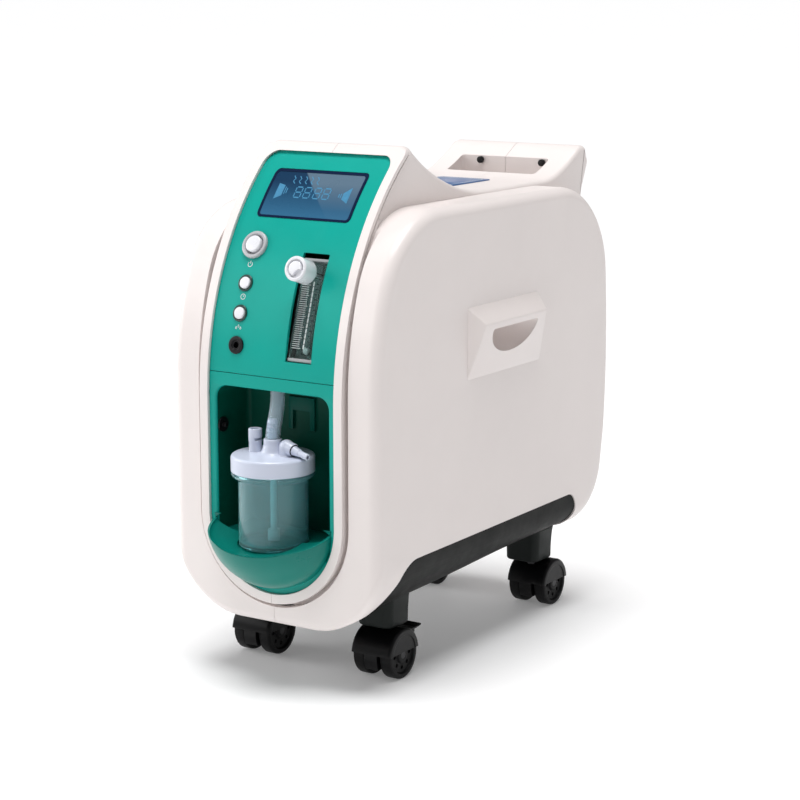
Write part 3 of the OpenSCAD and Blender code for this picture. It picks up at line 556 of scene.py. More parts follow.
def clear(name, color, rough=0.06, transmission=0.9, ior=1.2, alpha=1.0):
    """Clear moulded plastic with faint flow marks."""
    material, nodes, links, shader = node_tree(name)
    drift = noise(nodes, links, 30.0, 4.0, 0.5, (1, 1, 0.2))
    links.new(ramp(nodes, links, drift, 0.3, 0.7, tone(color, 0.96), tone(color, 1.03)), shader.inputs["Base Color"])
    links.new(ramp(nodes, links, drift, 0.3, 0.7, rough * 0.7, rough * 1.5), shader.inputs["Roughness"])
    relief = nodes.new("ShaderNodeBump")
    relief.inputs["Strength"].default_value = 0.05
    relief.inputs["Distance"].default_value = 0.0005
    links.new(noise(nodes, links, 60.0, 3.0, 0.5, (1, 1, 0.15)), relief.inputs["Height"])
    links.new(relief.outputs[0], shader.inputs["Normal"])
    shader.inputs["Transmission Weight"].default_value = transmission
    shader.inputs["IOR"].default_value = ior
    shader.inputs["Alpha"].default_value = alpha
    return material


def glow(name, color, strength):
    """Lit mark on the display."""
    material, nodes, links, shader = node_tree(name)
    drift = noise(nodes, links, 400.0, 2.0)
    links.new(ramp(nodes, links, drift, 0.3, 0.7, tone(color, 0.85), color), shader.inputs["Base Color"])
    shader.inputs["Emission Color"].default_value = (*color, 1)
    shader.inputs["Emission Strength"].default_value = strength
    shader.inputs["Roughness"].default_value = 0.35
    return material


WHITE = plastic("shell_white", (0.84, 0.775, 0.755), 0.36, 1400.0, 0.025, 0.8, 0.1, 0.012)
TEAL = plastic("panel_teal", (0.003, 0.345, 0.285), 0.33, 1200.0, 0.02, 0.7, 0.0, 0.04, specular=0.2)
# Darker copy of the teal for the tray, which faces down and forwards: painted shade.
TRAY_TEAL_PAINTED_SHADE = plastic("tray_teal_painted_shade", (0.002, 0.185, 0.150), 0.30, 1200.0, 0.02, 0.7, 0.0, 0.04, specular=0.25)
# Darker copy of the teal for the bay's walls: painted shade of the recess.
TEAL_PAINTED_SHADE = plastic("bay_teal_painted_shade", (0.001, 0.080, 0.052), 0.4, 1200.0, 0.03, 0.7, 0.0, 0.08, specular=0.12)
BRACKET = plastic("bracket_teal", (0.001, 0.105, 0.078), 0.35, 1200.0, 0.03, 0.6, 0.0, 0.05, specular=0.15)
TUB = plastic("tub_dark", (0.004, 0.0045, 0.004), 0.45, 700.0, 0.05, 0.8, 0.0, 0.08, specular=0.12)
FOOT = plastic("foot_grey", (0.010, 0.013, 0.012), 0.45, 600.0, 0.08, 0.8, 0.0, 0.08, specular=0.15)
CAP = plastic("cap_white", (0.58, 0.62, 0.74), 0.30, 900.0, 0.02, 0.6, 0.2, 0.02)
BUTTON = plastic("button_white", (0.78, 0.78, 0.82), 0.25, 900.0, 0.02, 0.5, 0.3, 0.02)
RING = plastic("ring_silver", (0.46, 0.46, 0.48), 0.3, 900.0, 0.03, 0.4, 0.3, 0.04)
RING_GREEN = plastic("ring_green", (0.0006, 0.038, 0.028), 0.3, 900.0, 0.03, 0.4, 0.2, 0.08)
BLACK = plastic("black_plastic", (0.004, 0.004, 0.005), 0.38, 700.0, 0.08, 0.5, 0.05, 0.15,
                specular=0.3, edge_wear=0.1)
NYLON = plastic("caster_black", (0.0025, 0.0025, 0.003), 0.35, 800.0, 0.06, 0.8, 0.03, 0.2,
                specular=0.2, edge_wear=0.06)
TREAD = plastic("wheel_black", (0.0025, 0.0025, 0.003), 0.5, 1500.0, 0.2, 0.8, 0.0, 0.2, specular=0.2)
PIN = plastic("dark_pin", (0.03, 0.03, 0.032), 0.35, 600.0, 0.05, 0.3, 0.0, 0.1, metallic=0.6)
GREY = plastic("trim_grey", (0.36, 0.37, 0.38), 0.42, 900.0, 0.05, 0.5, 0.0, 0.05)
STEEL = plastic("sheet_steel", (0.62, 0.63, 0.64), 0.32, 500.0, 0.08, 0.3, 0.0, 0.06, (1, 12, 1), 1.0)
ALLOY = plastic("cast_alloy", (0.60, 0.61, 0.62), 0.45, 350.0, 0.3, 0.5, 0.0, 0.08, None, 1.0)
BOARD = plastic("board_green", (0.015, 0.16, 0.07), 0.35, 300.0, 0.2, 0.3, 0.3, 0.15)
SEAL = plastic("seal_red", (0.50, 0.09, 0.05), 0.55, 900.0, 0.1, 0.4, 0.0, 0.08)
LABEL = plastic("label_blue", (0.022, 0.120, 0.350), 0.3, 800.0, 0.03, 0.4, 0.3, 0.05)
FOAM = plastic("filter_foam", (0.05, 0.05, 0.055), 0.9, 700.0, 1.0, 0.2, 0.0, 0.3)
CREAM = plastic("tube_cream", (0.55, 0.62, 0.64), 0.35, 900.0, 0.03, 0.4, 0.1, 0.02)
BALL = plastic("float_ball", (0.75, 0.78, 0.80), 0.12, 900.0, 0.01, 0.1, 0.5, 0.02)
PRINT = plastic("white_print", (0.62, 0.70, 0.69), 0.4, 900.0, 0.02, 0.1, 0.0, 0.03)
MARK = plastic("dark_print", (0.004, 0.03, 0.027), 0.4, 900.0, 0.02, 0.1, 0.0, 0.03)
FLOW_GREY = plastic("flow_backing_grey", (0.11, 0.18, 0.18), 0.35, 900.0, 0.03, 0.3, 0.1, 0.06)
FLOW_GREEN = plastic("flow_backing_green", (0.001, 0.090, 0.068), 0.35, 900.0, 0.03, 0.3, 0.1, 0.06)
CLEAR = clear("clear_plastic", (0.50, 0.86, 0.90), 0.06, 0.85, 1.3)
HOSE = clear("hose_clear", (0.78, 0.90, 0.98), 0.12, 0.8, 1.25)
FLOW_CLEAR = clear("flow_clear", (0.80, 0.95, 0.93), 0.04, 0.97, 1.12)
LCD_EDGE = plastic("lcd_frame", (0.003, 0.012, 0.045), 0.30, 900.0, 0.01, 0.3, 0.0, 0.05, specular=0.15)
LCD_MARK = glow("lcd_mark", (0.055, 0.24, 0.42), 0.06)


def lcd_material():
    """Display glass: deep blue at the top, paler towards the foot, with a painted reflection: a pale diagonal field
    that fades towards the foot.
    """
    material, nodes, links, shader = node_tree("lcd_glass")
    coords = nodes.new("ShaderNodeTexCoord")
    split = nodes.new("ShaderNodeSeparateXYZ")
    links.new(coords.outputs["Object"], split.inputs[0])
    height = nodes.new("ShaderNodeMapRange")
    height.inputs["From Min"].default_value = DISPLAY_Z[0] * MM
    height.inputs["From Max"].default_value = DISPLAY_Z[1] * MM
    links.new(split.outputs["Z"], height.inputs["Value"])
    base = ramp(nodes, links, height.outputs[0], 0.05, 0.75, (0.030, 0.125, 0.235), (0.008, 0.036, 0.086))
    # painted reflection: a pale diagonal field mixed over the glass colour, strongest at the top
    reflection_slant = nodes.new("ShaderNodeMath")
    reflection_slant.operation = "MULTIPLY_ADD"
    reflection_slant.inputs[1].default_value = 1.15
    links.new(split.outputs["Z"], reflection_slant.inputs[0])
    links.new(split.outputs["X"], reflection_slant.inputs[2])
    field = nodes.new("ShaderNodeMapRange")
    field.inputs["From Min"].default_value = 0.5655
    field.inputs["From Max"].default_value = 0.5675
    links.new(reflection_slant.outputs[0], field.inputs["Value"])
    reflection_fade = nodes.new("ShaderNodeMath")
    reflection_fade.operation = "MULTIPLY"
    links.new(field.outputs[0], reflection_fade.inputs[0])
    links.new(ramp(nodes, links, height.outputs[0], 0.2, 0.75, 0.05, 0.62), reflection_fade.inputs[1])
    mix = nodes.new("ShaderNodeMix")
    mix.data_type = "RGBA"
    links.new(reflection_fade.outputs[0], mix.inputs["Factor"])
    links.new(base, mix.inputs["A"])
    mix.inputs["B"].default_value = (0.155, 0.235, 0.305, 1)
    links.new(mix.outputs["Result"], shader.inputs["Base Color"])
    links.new(ramp(nodes, links, noise(nodes, links, 40.0), 0.3, 0.7, 0.26, 0.34), shader.inputs["Roughness"])
    shader.inputs["Specular IOR Level"].default_value = 0.12
    return material


LCD = lcd_material()


# ---------------------------------------------------------------- housings
def rim_layer(out, deep, low, n=56):
    """A layer along the front, from `out` before the panel surface to `deep` behind it."""
    centre = (LEAN_Y, LEAN_Z)
    outline = ([(FACE_Y - out, low)] + arc(centre, LEAN_R + out, 180, CREST_A + 0.2, n)
               + arc(centre, LEAN_R - deep, CREST_A + 0.2, 180, n) + [(FACE_Y + deep, low)])
    return prism_x(outline, -1, 130)


def half_outline(grow, top, x0=-1.0):
    """The panels' outline, cut at X = x0 and kept on the +X side."""
    return [(x0, ROUND_Z - PANEL_HW - grow)] + [
        (x, z) for x, z in panel_outline(grow, top, n=96) if x > 1] + [(x0, top)]


def slot_outline(grow):
    return rounded_box((-SLOT_HW - grow, SLOT_HW + grow),
                       (SLOT_Y[0] - 4 - grow, SLOT_Y[1] + 4 + grow), 4 + grow)


def rear_cutters(side):
    tools = [block((-REAR_HW, REAR_HW), (REAR_Y - 20, REAR_Y + 20), z) for z in (GRILLE_Z, DOOR_Z)]
    if side < 0:
        tools.append(block((-INLET_X - 24.3, -INLET_X + 24.3), (REAR_Y - 30, REAR_Y + 20),
                           (SOCKET_Z - 14.3, SOCKET_Z + 14.3)))
    else:
        tools.append(rod(on_rear(BREAKER_X, REAR_Y, SOCKET_Z), 5.2, -40, 20))
    tools += [rod(on_rear(80, REAR_Y, z), 3.7, -30, 20, 24) for z in SCREW_Z]
    return tools


def half_housing(side):
    """One half of the housing, built on the +X side."""
    rim_outline = half_outline(RIM_W + GROOVE, CREST_Z + 60)
    groove = common(rim_layer(12, 6, 40), prism_y(rim_outline, -260, 0))
    trench = minus(common(rim_layer(12, 12, 40), prism_y(rim_outline, -260, 0)),
                   prism_y(half_outline(RIM_W - 0.6, CREST_Z + 60), -261, 1))
    trench = common(trench, block((-1, 130), (-300, 0), (60, SHELL_TOP - 38)))
    body = minus(shell_half(0), groove, trench)
    plate = common(rim_layer(RIM_OUT, 3, 70), prism_y(half_outline(RIM_W, CREST_Z + 2), -260, 0))
    backing = common(rim_layer(1, 7, 71), prism_y(half_outline(RIM_W - 0.6, CREST_Z + 60), -260, 0),
                     block((-1, 130), (-300, 0), (60, SHELL_TOP - 8)))
    field = bevel(block((-20, FIELD_HW), (REAR_Y - 14, REAR_Y + 0.5), FIELD_Z), 3, 4)
    body = union(body, spine_half(0), backing, plate, field)
    wall_outline = half_outline(RIM_W + GROOVE + WALL, CREST_Z + 60)
    collar = union(common(rim_layer(12, 9, 40), prism_y(wall_outline, -260, 0)),
                   common(rim_layer(12, 15, 40), prism_y(wall_outline, -260, 0),
                          block((-1, 130), (-300, 0), (30, SHELL_TOP - 34))))
    hollow = minus(shell_half(WALL), collar, block((-1, 66), (REAR_Y - 14, REAR_Y + 1), FIELD_Z))
    slot = prism_z(slot_outline(0), SLOT_LOW, 560)
    well = common(minus(prism_z(slot_outline(2.4), SLOT_LOW - 3, 560), prism_z(slot_outline(0), SLOT_LOW, 561)),
                  spine_half(1.5))
    front = union(rim_layer(12, 9.5, 40),
                  common(rim_layer(12, 16, 40), block((-1, 130), (-300, 0), (30, SHELL_TOP - 34))))
    opening = common(prism_y(half_outline(0.3, PANEL_TOP), -260, -60), front)
    body = minus(body, hollow, spine_half(WALL), opening,
                 prism_x(tub_outline(), -5, 130), grip_hole(), slot, *rear_cutters(side))
    line = common(rim_layer(-0.9, 2.3, 60), block((82.6, RIM_HW + 0.6), (-300, 0), (372, 600)))
    body = union(minus(body, line), well)
    return minus(body, block((-30, 0.15), (-400, 400), (0, 600)))


def grip_hole():
    return prism_x([(GRIP_Y[0] + 5, GRIP_Z[0] + 5), (GRIP_Y[1] - 5, GRIP_Z[0] + 5),
                    (GRIP_Y[1] - 11, GRIP_Z[1] - 5), (GRIP_Y[0] + 5, GRIP_Z[1] - 5)], 105, 130)


def housings():
    finish_piece(half_housing(1), "shell_right", "cabinet", WHITE, ["housing_right"], 24)
    left = half_housing(-1)
    left.data.transform(Matrix.Scale(-1, 4, (1, 0, 0)))
    left.data.flip_normals()
    finish_piece(left, "shell_left", "cabinet", WHITE, ["housing_left"], 24)


def tub():
    whole = union(shell_half(1.2), mirrored_tool(shell_half(1.2)))
    body = common(whole, prism_x(tub_outline(-0.5), -130, 130), block((-130, 130), (-200, 180), (BELLY_Z, 139)))
    body = minus(body, block((-98, 98), (-186, 158), (BELLY_Z + 4, 200)),
                 *[rod(Matrix.Translation((s * CASTER_X, y, 0)), 5, 80, 100) for s in (-1, 1) for y in CASTER_Y.values()])
    finish_piece(body, "base_tub_skin", "cabinet", TUB, ["base_tub"], 30)


def mirrored_tool(obj):
    other = mirrored(obj, "tool_mirror")
    bpy.data.objects.remove(obj)
    return other


def feet():
    parts = []
    for sx in (-1, 1):
        for y, shift in ((CASTER_Y["front"], -8), (CASTER_Y["rear"], 0)):
            cx, cy = sx * (CASTER_X - 4.5), y + shift
            rings = []
            for h, w, d, r in ((54, 38, 38, 8), (54.6, 40, 40, 9), (56, 41, 41, 9), (70, 41.6, 41.6, 9),
                               (80, 42.6, 42.4, 9), (86, 43.8, 43.2, 9), (BELLY_Z - 0.1, 45, 44, 9)):
                rings.append([(px, py, h) for px, py in rounded_box((cx - w / 2, cx + w / 2), (cy - d / 2, cy + d / 2), r)])
            foot = loft(rings)
            parts.append(minus(foot, rod(Matrix.Translation((sx * CASTER_X, y, 0)), 5.45, 50, 95)))
    finish_piece(join(*parts), "foot_columns", "cabinet", FOOT, ["caster_feet"], 40)


# ---------------------------------------------------------------- front panels
def panel_sheet(low, high, grow, thick=3.0):
    """Sheet of the front between two heights."""
    centre = (LEAN_Y, LEAN_Z)
    outer = [(FACE_Y, low)] if low < LEAN_Z else []
    a0 = 180 - lean(max(low, LEAN_Z))
    a1 = 180 - lean(high)
    outline = outer + arc(centre, LEAN_R, a0, a1, 64) + arc(centre, LEAN_R - thick, a1, a0, 64)
    outline += [(FACE_Y + thick, low)] if low < LEAN_Z else []
    return common(prism_x(outline, -100, 100), prism_y(panel_outline(grow, PANEL_TOP - 0.3, n=96), -260, 0))


def control_panel():
    sheet = panel_sheet(SEAM_Z + 0.3, PANEL_TOP - 0.1, 0)
    tools = [prism_y(rounded_box((-DISPLAY_HW - 0.2, DISPLAY_HW + 0.2), (DISPLAY_Z[0] - 0.2, DISPLAY_Z[1] + 0.2), 5),
                     -260, -60),
             prism_y(rounded_box((FLOW_X - FLOW_HW, FLOW_X + FLOW_HW), FLOW_Z, 1.2, 4), -260, -100),
             rod(on_panel(KEY_X, POWER_Z), 12.8, -12, 12)]
    tools += [rod(on_panel(KEY_X, z), KEY_R + 0.9, -12, 12) for z in (TIMER_Z, MIST_Z)]
    tools.append(rod(on_panel(KEY_X, JACK_Z), 7.2, -12, 12))
    sheet = minus(sheet, *tools)
    finish_piece(sheet, "control_fascia", "cabinet", TEAL, ["control_panel"], 25)


def bay_panel():
    """Lower panel: the sheet with the eased edge of the bay, and the bay's walls behind it."""
    lip = 2.6
    rings = [[(x, FACE_Y - 2, z) for x, z in bay_outline(lip)]]
    for t in sweep(0, 90, 7):
        s, c = math.sin(math.radians(t)), math.cos(math.radians(t))
        rings.append([(x, FACE_Y + lip * (1 - c), z) for x, z in bay_outline(lip * (1 - s))])
    rings.append([(x, BAY_BACK - 5, z) for x, z in bay_outline(0)])
    for t in sweep(20, 90, 4):
        s, c = math.sin(math.radians(t)), math.cos(math.radians(t))
        rings.append([(x, BAY_BACK - 5 + 5 * s, z) for x, z in bay_outline(-5 * (1 - c))])
    sheet = minus(panel_sheet(80, SEAM_Z - 0.3, 0), loft(rings))
    walls = minus(prism_y(bay_outline(2.5), FACE_Y + 3.0, BAY_BACK + 2.5), loft(rings),
                  rod(Matrix.Translation((0, BOTTLE_Y + HOSE_BACK, 0)), 8.3, BAY_TOP - 5, BAY_TOP + 9),
                  rod(along_x(0, -212.6, 259.3), 6.3, -BAY_HW - 9, -BAY_HW + 3))
    bracket = minus(bevel(block((-16, 16), (BAY_BACK - 3, BAY_BACK + 0.5), (254, 287.5)), 0.8, 2),
                    block((-10.5, 10.5), (BAY_BACK - 4, BAY_BACK + 2), (250, 273.5)))
    finish_piece(sheet, "bay_fascia", "cabinet", TEAL, ["bay_panel"], 25)
    # the walls take the darker teal copy, which paints the shade inside the bay
    finish_piece(walls, "bay_walls", "cabinet", TEAL_PAINTED_SHADE, (), 35)
    finish_piece(bracket, "bay_bracket", "cabinet", BRACKET, (), 35)


def bay_outline(grow):
    """Opening of the bay: rounded above, following the round end of the panel below."""
    r = 13 + grow
    hw = BAY_HW + grow
    low_r = PANEL_HW - 3.5 + grow
    side = math.degrees(math.acos(min(1.0, hw / low_r)))
    floor = BAY_LOW - grow
    foot = math.degrees(math.asin(min(1.0, (ROUND_Z - floor) / low_r)))
    return (arc((0, ROUND_Z), low_r, 180 + side, 180 + foot, 6) + arc((0, ROUND_Z), low_r, 360 - foot, 360 - side, 6)
            + arc((hw - r, BAY_TOP + grow - r), r, 0, 90, 12) + arc((-hw + r, BAY_TOP + grow - r), r, 90, 180, 12))


def ellipsoid(rx, ry, rz, n=96, m=48):
    rings = []
    for t in sweep(-90, 90, m):
        c = max(math.cos(math.radians(t)), 1e-5)
        rings.append([(rx * c * math.cos(math.tau * i / n), ry * c * math.sin(math.tau * i / n),
                       rz * math.sin(math.radians(t))) for i in range(n)])
    return loft(rings)


def tray():
    at = Matrix.Translation((0, FACE_Y, TRAY_Z))
    tilt = at @ Matrix.Rotation(math.radians(TRAY_TILT), 4, "X")
    bowl = common(placed(ellipsoid(TRAY_HW, TRAY_OUT, TRAY_DEEP), at),
                  block((-80, 80), (FACE_Y - 70, FACE_Y - 0.1), (90, TRAY_Z + 5)))
    floor_outline = [(x, z) for x, z in panel_outline(-1.4 - 2.5, PANEL_TOP, n=96) if z < TRAY_Z - 14]
    shelf = common(prism_y(floor_outline + [(BAY_HW - 0.3, TRAY_Z - 14), (-BAY_HW + 0.3, TRAY_Z - 14)],
                           FACE_Y - 0.2, BAY_BACK - 0.4),
                   block((-BAY_HW + 0.3, BAY_HW - 0.3), (-260, -100), (BAY_LOW + 0.3, TRAY_Z - 12)))
    bowl = union(bowl, shelf)
    bowl = minus(bowl, placed(block((-90, 90), (-90, 0), (0, 60)), tilt),
                 placed(ellipsoid(TRAY_HW - 3, TRAY_OUT * 1.03, 13), tilt),
                 common(placed(ellipsoid(TRAY_HW - 3, TRAY_OUT - 3, TRAY_DEEP - 3), at),
                        block((-80, 80), (FACE_Y - 70, FACE_Y + 1), (90, BAY_LOW - 3))),
                 rod(Matrix.Translation((0, BOTTLE_Y, 0)), BOTTLE_R + 1.4, BOTTLE_Z - 0.4, 200, 128))
    # the tray takes the darker teal copy, which paints its shade
    finish_piece(bowl, "tray_bowl", "cabinet", TRAY_TEAL_PAINTED_SHADE, ["bottle_tray"], 28)


# ---------------------------------------------------------------- display and buttons
def front_sheet(outline, out, thick=0.2):
    """Thin sheet of the given front-view outline on the display's surface."""
    centre = (LEAN_Y, LEAN_Z)
    a0, a1 = 180 - lean(440), 180 - lean(520)
    band = arc(centre, LEAN_R + out, a0, a1, 24) + arc(centre, LEAN_R + out - thick, a1, a0, 24)
    return common(prism_x(band, -100, 100), prism_y(outline, -260, -60))


def bar(x0, z0, x1, z1, w):
    """Outline of a straight stroke between two points."""
    along = Vector((x1 - x0, z1 - z0)).normalized()
    across = Vector((-along.y, along.x)) * w / 2
    return [(x0 - across.x, z0 - across.y), (x1 - across.x, z1 - across.y),
            (x1 + across.x, z1 + across.y), (x0 + across.x, z0 + across.y)]


def display():
    edge = minus(front_sheet(rounded_box((-DISPLAY_HW, DISPLAY_HW), DISPLAY_Z, 5), 0.5, 2.4),
                 prism_y(rounded_box((-DISPLAY_HW + 3, DISPLAY_HW - 3), (DISPLAY_Z[0] + 2, DISPLAY_Z[1] - 2.4), 3), -260, -60))
    finish_piece(edge, "display_frame", "cabinet", LCD_EDGE, ["display_window"])
    glass = front_sheet(rounded_box((-DISPLAY_HW + 2.9, DISPLAY_HW - 2.9), (DISPLAY_Z[0] + 1.9, DISPLAY_Z[1] - 2.3), 3), 0.2, 1.5)
    finish_piece(glass, "display_glass", "cabinet", LCD)
    strokes = []
    w, h = 7.6, 9.6
    for x in (-17.5, -6.5, 5.5, 16.5):
        z = 485.5
        for x0, z0, x1, z1 in ((0, 0, w, 0), (0, h / 2, w, h / 2), (0, h, w, h), (0, 0, 0, h / 2), (w, 0, w, h / 2),
                               (0, h / 2, 0, h), (w, h / 2, w, h)):
            du, dv = (0.8, 0) if z0 == z1 else (0, 0.6)
            strokes.append(bar(x - w / 2 + x0 + du, z + z0 + dv, x - w / 2 + x1 - du, z + z1 - dv, 1.1))
    for k in range(5):
        x = -31 + 7.2 * k
        strokes += [bar(x, 505, x + 3, 502.6, 0.8), bar(x + 3, 502.6, x + 1.2, 500.2, 0.8),
                    bar(x + 1.2, 500.2, x + 4.4, 498, 0.8)]
    strokes += [[(-44.5, 483), (-36.5, 486.5), (-36.5, 496), (-44.5, 497.5)],
                [(44.5, 483), (36.5, 486.5), (36.5, 492), (44.5, 497.5)]]
    strokes += [bar(-34.5, 488, -34.5, 494.5, 1.0), bar(-32.2, 488.8, -32.2, 493.6, 1.0),
                bar(34.5, 487.5, 34.5, 491.5, 1.0), bar(32.2, 488, 32.2, 491, 1.0)]
    marks = join(*[front_sheet(outline, 0.24, 0.15) for outline in strokes])
    finish_piece(marks, "display_marks", "cabinet", LCD_MARK)


def dome(r, z0, z1, fillet, crown=0.4):
    """Profile of a round cap with an eased rim and a slightly crowned top."""
    return [(0, z0), (r, z0), (r, z1 - fillet)] + arc((r - fillet, z1 - fillet), fillet, 0, 90, 6)[1:] + [
        (r * 0.5, z1 + crown * 0.6), (0, z1 + crown)]


def buttons():
    at = on_panel(KEY_X, POWER_Z)
    ring = lathe([(POWER_R + 0.4, -5), (12.6, -5), (12.6, 0.1), (14.5, 0.1), (14.5, 1.6)]
                 + arc((12.9, 1.8), 1.6, 0, 90, 6)[1:] + [(11.4, 3.4), (10.7, 2.6), (10.4, 0.4), (POWER_R + 0.4, 0.4)], at)
    finish_piece(ring, "power_bezel", "cabinet", RING, ["power_button_ring"])
    finish_piece(lathe(dome(POWER_R - 0.1, -9, 5.4, 1.4), at), "power_cap", "power_button", BUTTON, ["power_button"])
    for z, node in ((TIMER_Z, "timer_button"), (MIST_Z, "mist_button")):
        at = on_panel(KEY_X, z)
        finish_piece(lathe(dome(KEY_R, -9, 2.8, 1.0, 0.3), at), node + "_cap", node, BUTTON, [node])
    rings = []
    for z in (TIMER_Z, MIST_Z):
        rings.append(lathe([(KEY_R + 0.35, -4), (KEY_R + 0.8, -4), (KEY_R + 0.8, 0.1), (KEY_R + 2.6, 0.1)]
                           + arc((KEY_R + 1.8, 0.6), 0.8, 0, 90, 4) + [(KEY_R + 0.35, 0.9)], on_panel(KEY_X, z)))
    finish_piece(join(*rings), "key_collars", "cabinet", RING_GREEN, ["key_rings"])
    jack = minus(lathe([(0, -18), (7, -18), (7, 0.1), (8.9, 0.1), (8.9, 1.0)] + arc((8.1, 1.0), 0.8, 0, 90, 4)
                       + [(5.2, 1.8), (4.6, 0.6), (0, 0.6)], on_panel(KEY_X, JACK_Z)),
                 rod(on_panel(KEY_X, JACK_Z), 3.2, -14, 5))
    nut = rod(on_panel(KEY_X, JACK_Z), 9, -8, -5, 6)
    finish_piece(join(jack, nut), "jack_body", "cabinet", BLACK, ["accessory_jack"])
    pictograms()


def pictograms():
    """Small generic symbols under the buttons, laid on the panel: a circle with a bar, a clock, three drops."""
    def stroke(at, pts, w):
        parts = []
        for (x0, y0), (x1, y1) in zip(pts, pts[1:]):
            outline = [(p[0], p[1]) for p in bar(x0, y0, x1, y1, w)]
            parts.append(placed(prism_z(outline, 0.02, 0.14), at))
        return parts

    parts = []
    at = on_panel(KEY_X, 421)
    parts += stroke(at, arc((0, 0), 2.6, 130, 410, 14), 0.8) + stroke(at, [(0, 0.6), (0, 3.6)], 0.8)
    at = on_panel(KEY_X, 390)
    parts += stroke(at, arc((0, 0), 2.7, 0, 360, 18), 0.7) + stroke(at, [(0, 1.6), (0, 0), (1.3, 0)], 0.6)
    at = on_panel(KEY_X, 360.5)
    for dx, dy in ((-2.6, -0.8), (0, 1.0), (2.6, -0.8)):
        parts += stroke(at, [(dx - 0.9, dy - 0.5), (dx, dy + 1.6), (dx + 0.9, dy - 0.5),
                             (dx, dy - 1.2), (dx - 0.9, dy - 0.5)], 0.6)
    finish_piece(join(*parts), "button_symbols", "cabinet", PRINT)


# ---------------------------------------------------------------- flowmeter
def flowmeter():
    at = on_flow(FLOW_MID)
    tray_back = placed(union(block((-15, 15), (-51, 51), (-27, -23.9)), block((-15.3, -14.75), (-51, 51), (-24.5, -5.5)),
                             block((14.75, 15.3), (-51, 51), (-24.5, -5.5))), at)
    bore = placed(lathe([(0, -43), (4.0, -43), (4.6, 24), (0, 24)], Matrix.Translation((0, 0, -16)) @ Matrix.Rotation(
        math.radians(-90), 4, "X"), 48), at)
    core = minus(placed(bevel(block((-14.6, 14.6), (-50, 50), (-20, -6.5)), 0.8, 3), at), bore,
                 rod(on_flow(KNOB_Z), 3.05, -23, 10))
    light = placed(bevel(block((-14.5, 0.6), (-50, 50), (-22, -20.8)), 0.3, 2), at)
    green = placed(bevel(block((0.8, 14.5), (-50, 50), (-22, -20.8)), 0.3, 2), at)
    finish_piece(light, "flow_back_grey", "cabinet", FLOW_GREY)
    finish_piece(green, "flow_back_green", "cabinet", FLOW_GREEN)
    finish_piece(tray_back, "flow_channel", "cabinet", BLACK, ["flowmeter_body"])
    finish_piece(core, "flow_block", "cabinet", FLOW_CLEAR)
    ticks, marks = [], []
    for k in range(34):
        y = -38 + 2.1 * k
        w = 10.4 if k % 5 == 0 else 8.8
        ticks.append(placed(block((-12, -12 + w), (y - 0.3, y + 0.3), (-6.48, -6.35)), at))
    for k in range(13):
        y = -36 + 5.2 * k
        ticks.append(placed(block((1.0, 2.5), (y - 2.2, y + 2.2), (-6.48, -6.35)), at))
        marks.append(placed(block((5.0, 5.0 + (3.2 if k % 2 else 2.0)), (y - 0.5, y + 0.5), (-6.48, -6.35)), at))
    finish_piece(join(*ticks), "flow_scale", "cabinet", PRINT)
    finish_piece(join(*marks), "flow_marks", "cabinet", MARK)
    caps = join(placed(bevel(block((-14.7, 14.7), (-51.5, -48), (-20.4, -6.1)), 0.8, 3), at),
                placed(bevel(block((-14.7, 14.7), (48.5, 51.5), (-20.4, -6.1)), 0.8, 3), at))
    finish_piece(caps, "flow_end_caps", "cabinet", GREY)
    ball = placed(ellipsoid(4.0, 4.0, 4.0, 48, 24), at @ Matrix.Translation((0, -38.4, -16)))
    finish_piece(ball, "float_ball", "flow_float", BALL, ["flow_float"])


def knob():
    at = on_flow(KNOB_Z)
    profile = ([(0, -19), (3, -19), (3, 6), (9.5, 6), (9.5, 9), (KNOB_R - 0.6, 9), (KNOB_R - 0.2, 10), (KNOB_R, 27.6)]
               + arc((KNOB_R - 1.6, 27.9), 1.6, 0, 90, 6) + [(KNOB_R - 2.8, 29.4), (KNOB_R - 3.4, 28.6), (KNOB_R - 3.6, 26.4),
                                                             (0, 26.2)])
    body = lathe(profile, at)
    crescent = minus(placed(lathe([(0, 26.1), (7.4, 26.1), (7.4, 28.8)] + arc((6.4, 28.8), 1.0, 0, 90, 5)[1:] + [(0, 30.0)]), at),
                     placed(prism_z(arc((6.2, -7.6), 7.2, 0, 350, 40), 20, 40), at))
    finish_piece(join(body, crescent), "knob_cap", "flow_knob", BUTTON, ["flow_knob"], 35)


